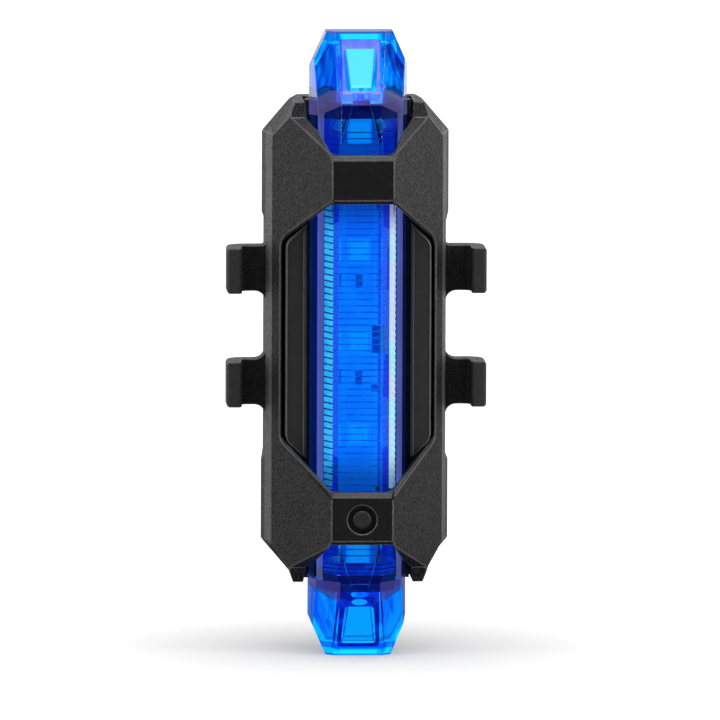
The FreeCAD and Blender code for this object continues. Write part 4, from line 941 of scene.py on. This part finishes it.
def pad_loops(half, low, high, corner):
    """Rows at height t; the post side is the post's own circle, sunk in the grooves.

    A groove's middle lies where (t + slope |x|) / pitch is halfway between two whole numbers.
    It fades out towards the pad's rim, which is rounded.
    """
    heights = np.arange(low, high + 0.01, 0.2)
    from_ends = np.minimum(heights - low, high - heights)
    inset = np.clip(corner - from_ends, 0, corner)
    width = half - (corner - np.sqrt(corner ** 2 - inset ** 2))
    across = width[:, None] * np.linspace(-1, 1, 41)
    beat = (heights[:, None] + GROOVE_SLOPE * np.abs(across)) / GROOVE_PITCH % 1.0
    edge = np.minimum(width[:, None] - np.abs(across), from_ends[:, None])
    groove = np.clip(1.6 - np.abs(beat - 0.5) / 0.075, 0, 1) * np.clip((edge - 0.5) / 0.4, 0, 1)
    rounding = 0.25 * np.clip(1 - edge / 0.3, 0, 1) ** 2
    outer = POST_AXIS - np.sqrt(POST_RADIUS ** 2 - across ** 2) - GROOVE_DEEP * groove - rounding
    inner = POST_AXIS - np.sqrt((POST_RADIUS + PAD_THICK) ** 2 - across ** 2)
    tall = np.broadcast_to(MIDDLE + heights[:, None], across.shape)
    post_side = np.stack([across, outer, tall], axis=-1)
    glued_side = np.stack([across, inner, tall], axis=-1)[:, ::-1]
    return np.concatenate([post_side, glued_side], axis=1)


def plain(name, colour, rough=0.5, metal=0.0, spread=0.15, size=0.8, depth=0.0):
    """Finish with a little unevenness in colour, gloss and height."""
    finish = Finish(name)
    patch = finish.grain(size, 3.0)
    dark, light = [[min(1, c * share) for c in colour] for share in (1 - spread, 1 + spread)]
    inputs = {"Base Color": finish.blend(patch, dark, light), "Metallic": metal,
              "Roughness": patch * 0.16 + (rough - 0.08)}
    if depth:
        inputs["Normal"] = finish.bump(patch, depth)
    return finish.close(finish.node("BsdfPrincipled", {}, inputs))


rubber_black = plain("rubber_black", (0.012, 0.012, 0.0125), 0.62, spread=0.35, size=0.5,
                     depth=0.02)
pad_low, pad_high = box_mm("saddle_pad")
loop_skin("grip_pad", [pad_loops(pad_high[0], pad_low[2] - MIDDLE, pad_high[2] - MIDDLE, 1.5)],
          rubber_black, "casing", node="saddle_pad")

# %% [markdown]
# ## Port cover and screws
# The charging port hides behind a rubber flap on the back, which is fixed by its foot.  Flap
# and foot keep their solid shape and get soft edges and the pad's kind of rubber.  The four
# screws are blackened steel.  At this size their edges need only a twentieth of a millimetre.

# %% Soft edges for flap, anchor and screws
flap_rubber = plain("flap_rubber", (0.014, 0.014, 0.0145), 0.55, spread=0.3, size=0.4,
                    depth=0.015)
softened("port_cover", "port_flap_rubber", "port_flap", [flap_rubber], 0.14, steps=3)
softened("port_cover_anchor", "flap_anchor", "casing", [flap_rubber], 0.1)
screw_steel = plain("screw_steel", (0.16, 0.16, 0.17), 0.36, metal=1.0, spread=0.3, size=0.25,
                    depth=0.01)
softened("cover_screws", "case_screws", "casing", [screw_steel], 0.05)

# %% [markdown]
# ## The parts inside
# Cell, boards, switch, socket and leads are never seen from outside, but the case may be taken
# apart, so each gets the finish of the real thing: foil, enamel, solder mask, tinned brass and
# folded steel.  Their shapes stay as they are.  One helper serves nearly all of them, since
# what tells these materials apart at arm's length is colour, gloss and whether they are metal.

# %% Finishes inside
def circuit(name, mask, track):
    """Solder mask with straight copper tracks showing through as lighter bands."""
    finish = Finish(name)
    across, depth, up = finish.place()[1]
    lanes = (abs(across % 1.2 - 0.6) < 0.11) * (finish.grain(4.0, 1.0) > 0.5)
    bars = (abs(up % 1.9 - 0.95) < 0.1) * (finish.grain(3.0, 1.0) < 0.42)
    tracks = lanes.larger(bars)
    dust = finish.grain(0.5, 3.0) * 0.25
    return finish.close(finish.node("BsdfPrincipled", {}, {
        "Base Color": finish.blend(dust, finish.blend(tracks, mask, track), (0.6, 0.65, 0.6)),
        "Roughness": finish.grain(0.9) * 0.15 + 0.28,
        "Normal": finish.bump(tracks, 0.03, 0.5)}))


inside = {
    # The seal glows faintly navy: painted light.
    "lens_gasket": glowing("gasket_navy", (0.004, 0.006, 0.09), (0.008, 0.012, 0.16), 1.5),
    "switch_body": plain("switch_tin", (0.55, 0.56, 0.58), 0.3, metal=1.0, size=0.4),
    "switch_plunger": plain("plunger_black", (0.02, 0.02, 0.02), 0.45, size=0.3, depth=0.01),
    "button_seal": plain("seal_rubber", (0.012, 0.012, 0.012), 0.6, size=0.4, depth=0.01),
    "battery_tape": plain("foam_white", (0.72, 0.72, 0.68), 0.8, spread=0.12, size=0.3,
                          depth=0.05),
    "battery_cell": plain("foil_silver", (0.62, 0.63, 0.65), 0.32, metal=1.0, spread=0.1,
                          size=2.5, depth=0.12),
    "battery_lead_red": plain("lead_red", (0.55, 0.015, 0.012), 0.35, size=0.6, depth=0.01),
    "battery_lead_black": plain("lead_black", (0.014, 0.014, 0.015), 0.35, size=0.6, depth=0.01),
    "charge_board": circuit("board_green", (0.01, 0.16, 0.06), (0.05, 0.33, 0.12)),
    "board_pins": plain("pin_brass", (0.78, 0.6, 0.3), 0.3, metal=1.0, size=0.2),
    "usb_socket_shell": plain("socket_steel", (0.6, 0.6, 0.61), 0.28, metal=1.0, spread=0.08,
                              size=0.5, depth=0.01),
    "usb_contact_tongue": plain("tongue_black", (0.018, 0.018, 0.018), 0.4, size=0.3, depth=0.01),
    "charge_chip": plain("chip_epoxy", (0.016, 0.016, 0.017), 0.5, size=0.15, depth=0.02),
}
for node, finish in inside.items():
    dress(node, finish)
print(len(inside), "inner parts have their finish")
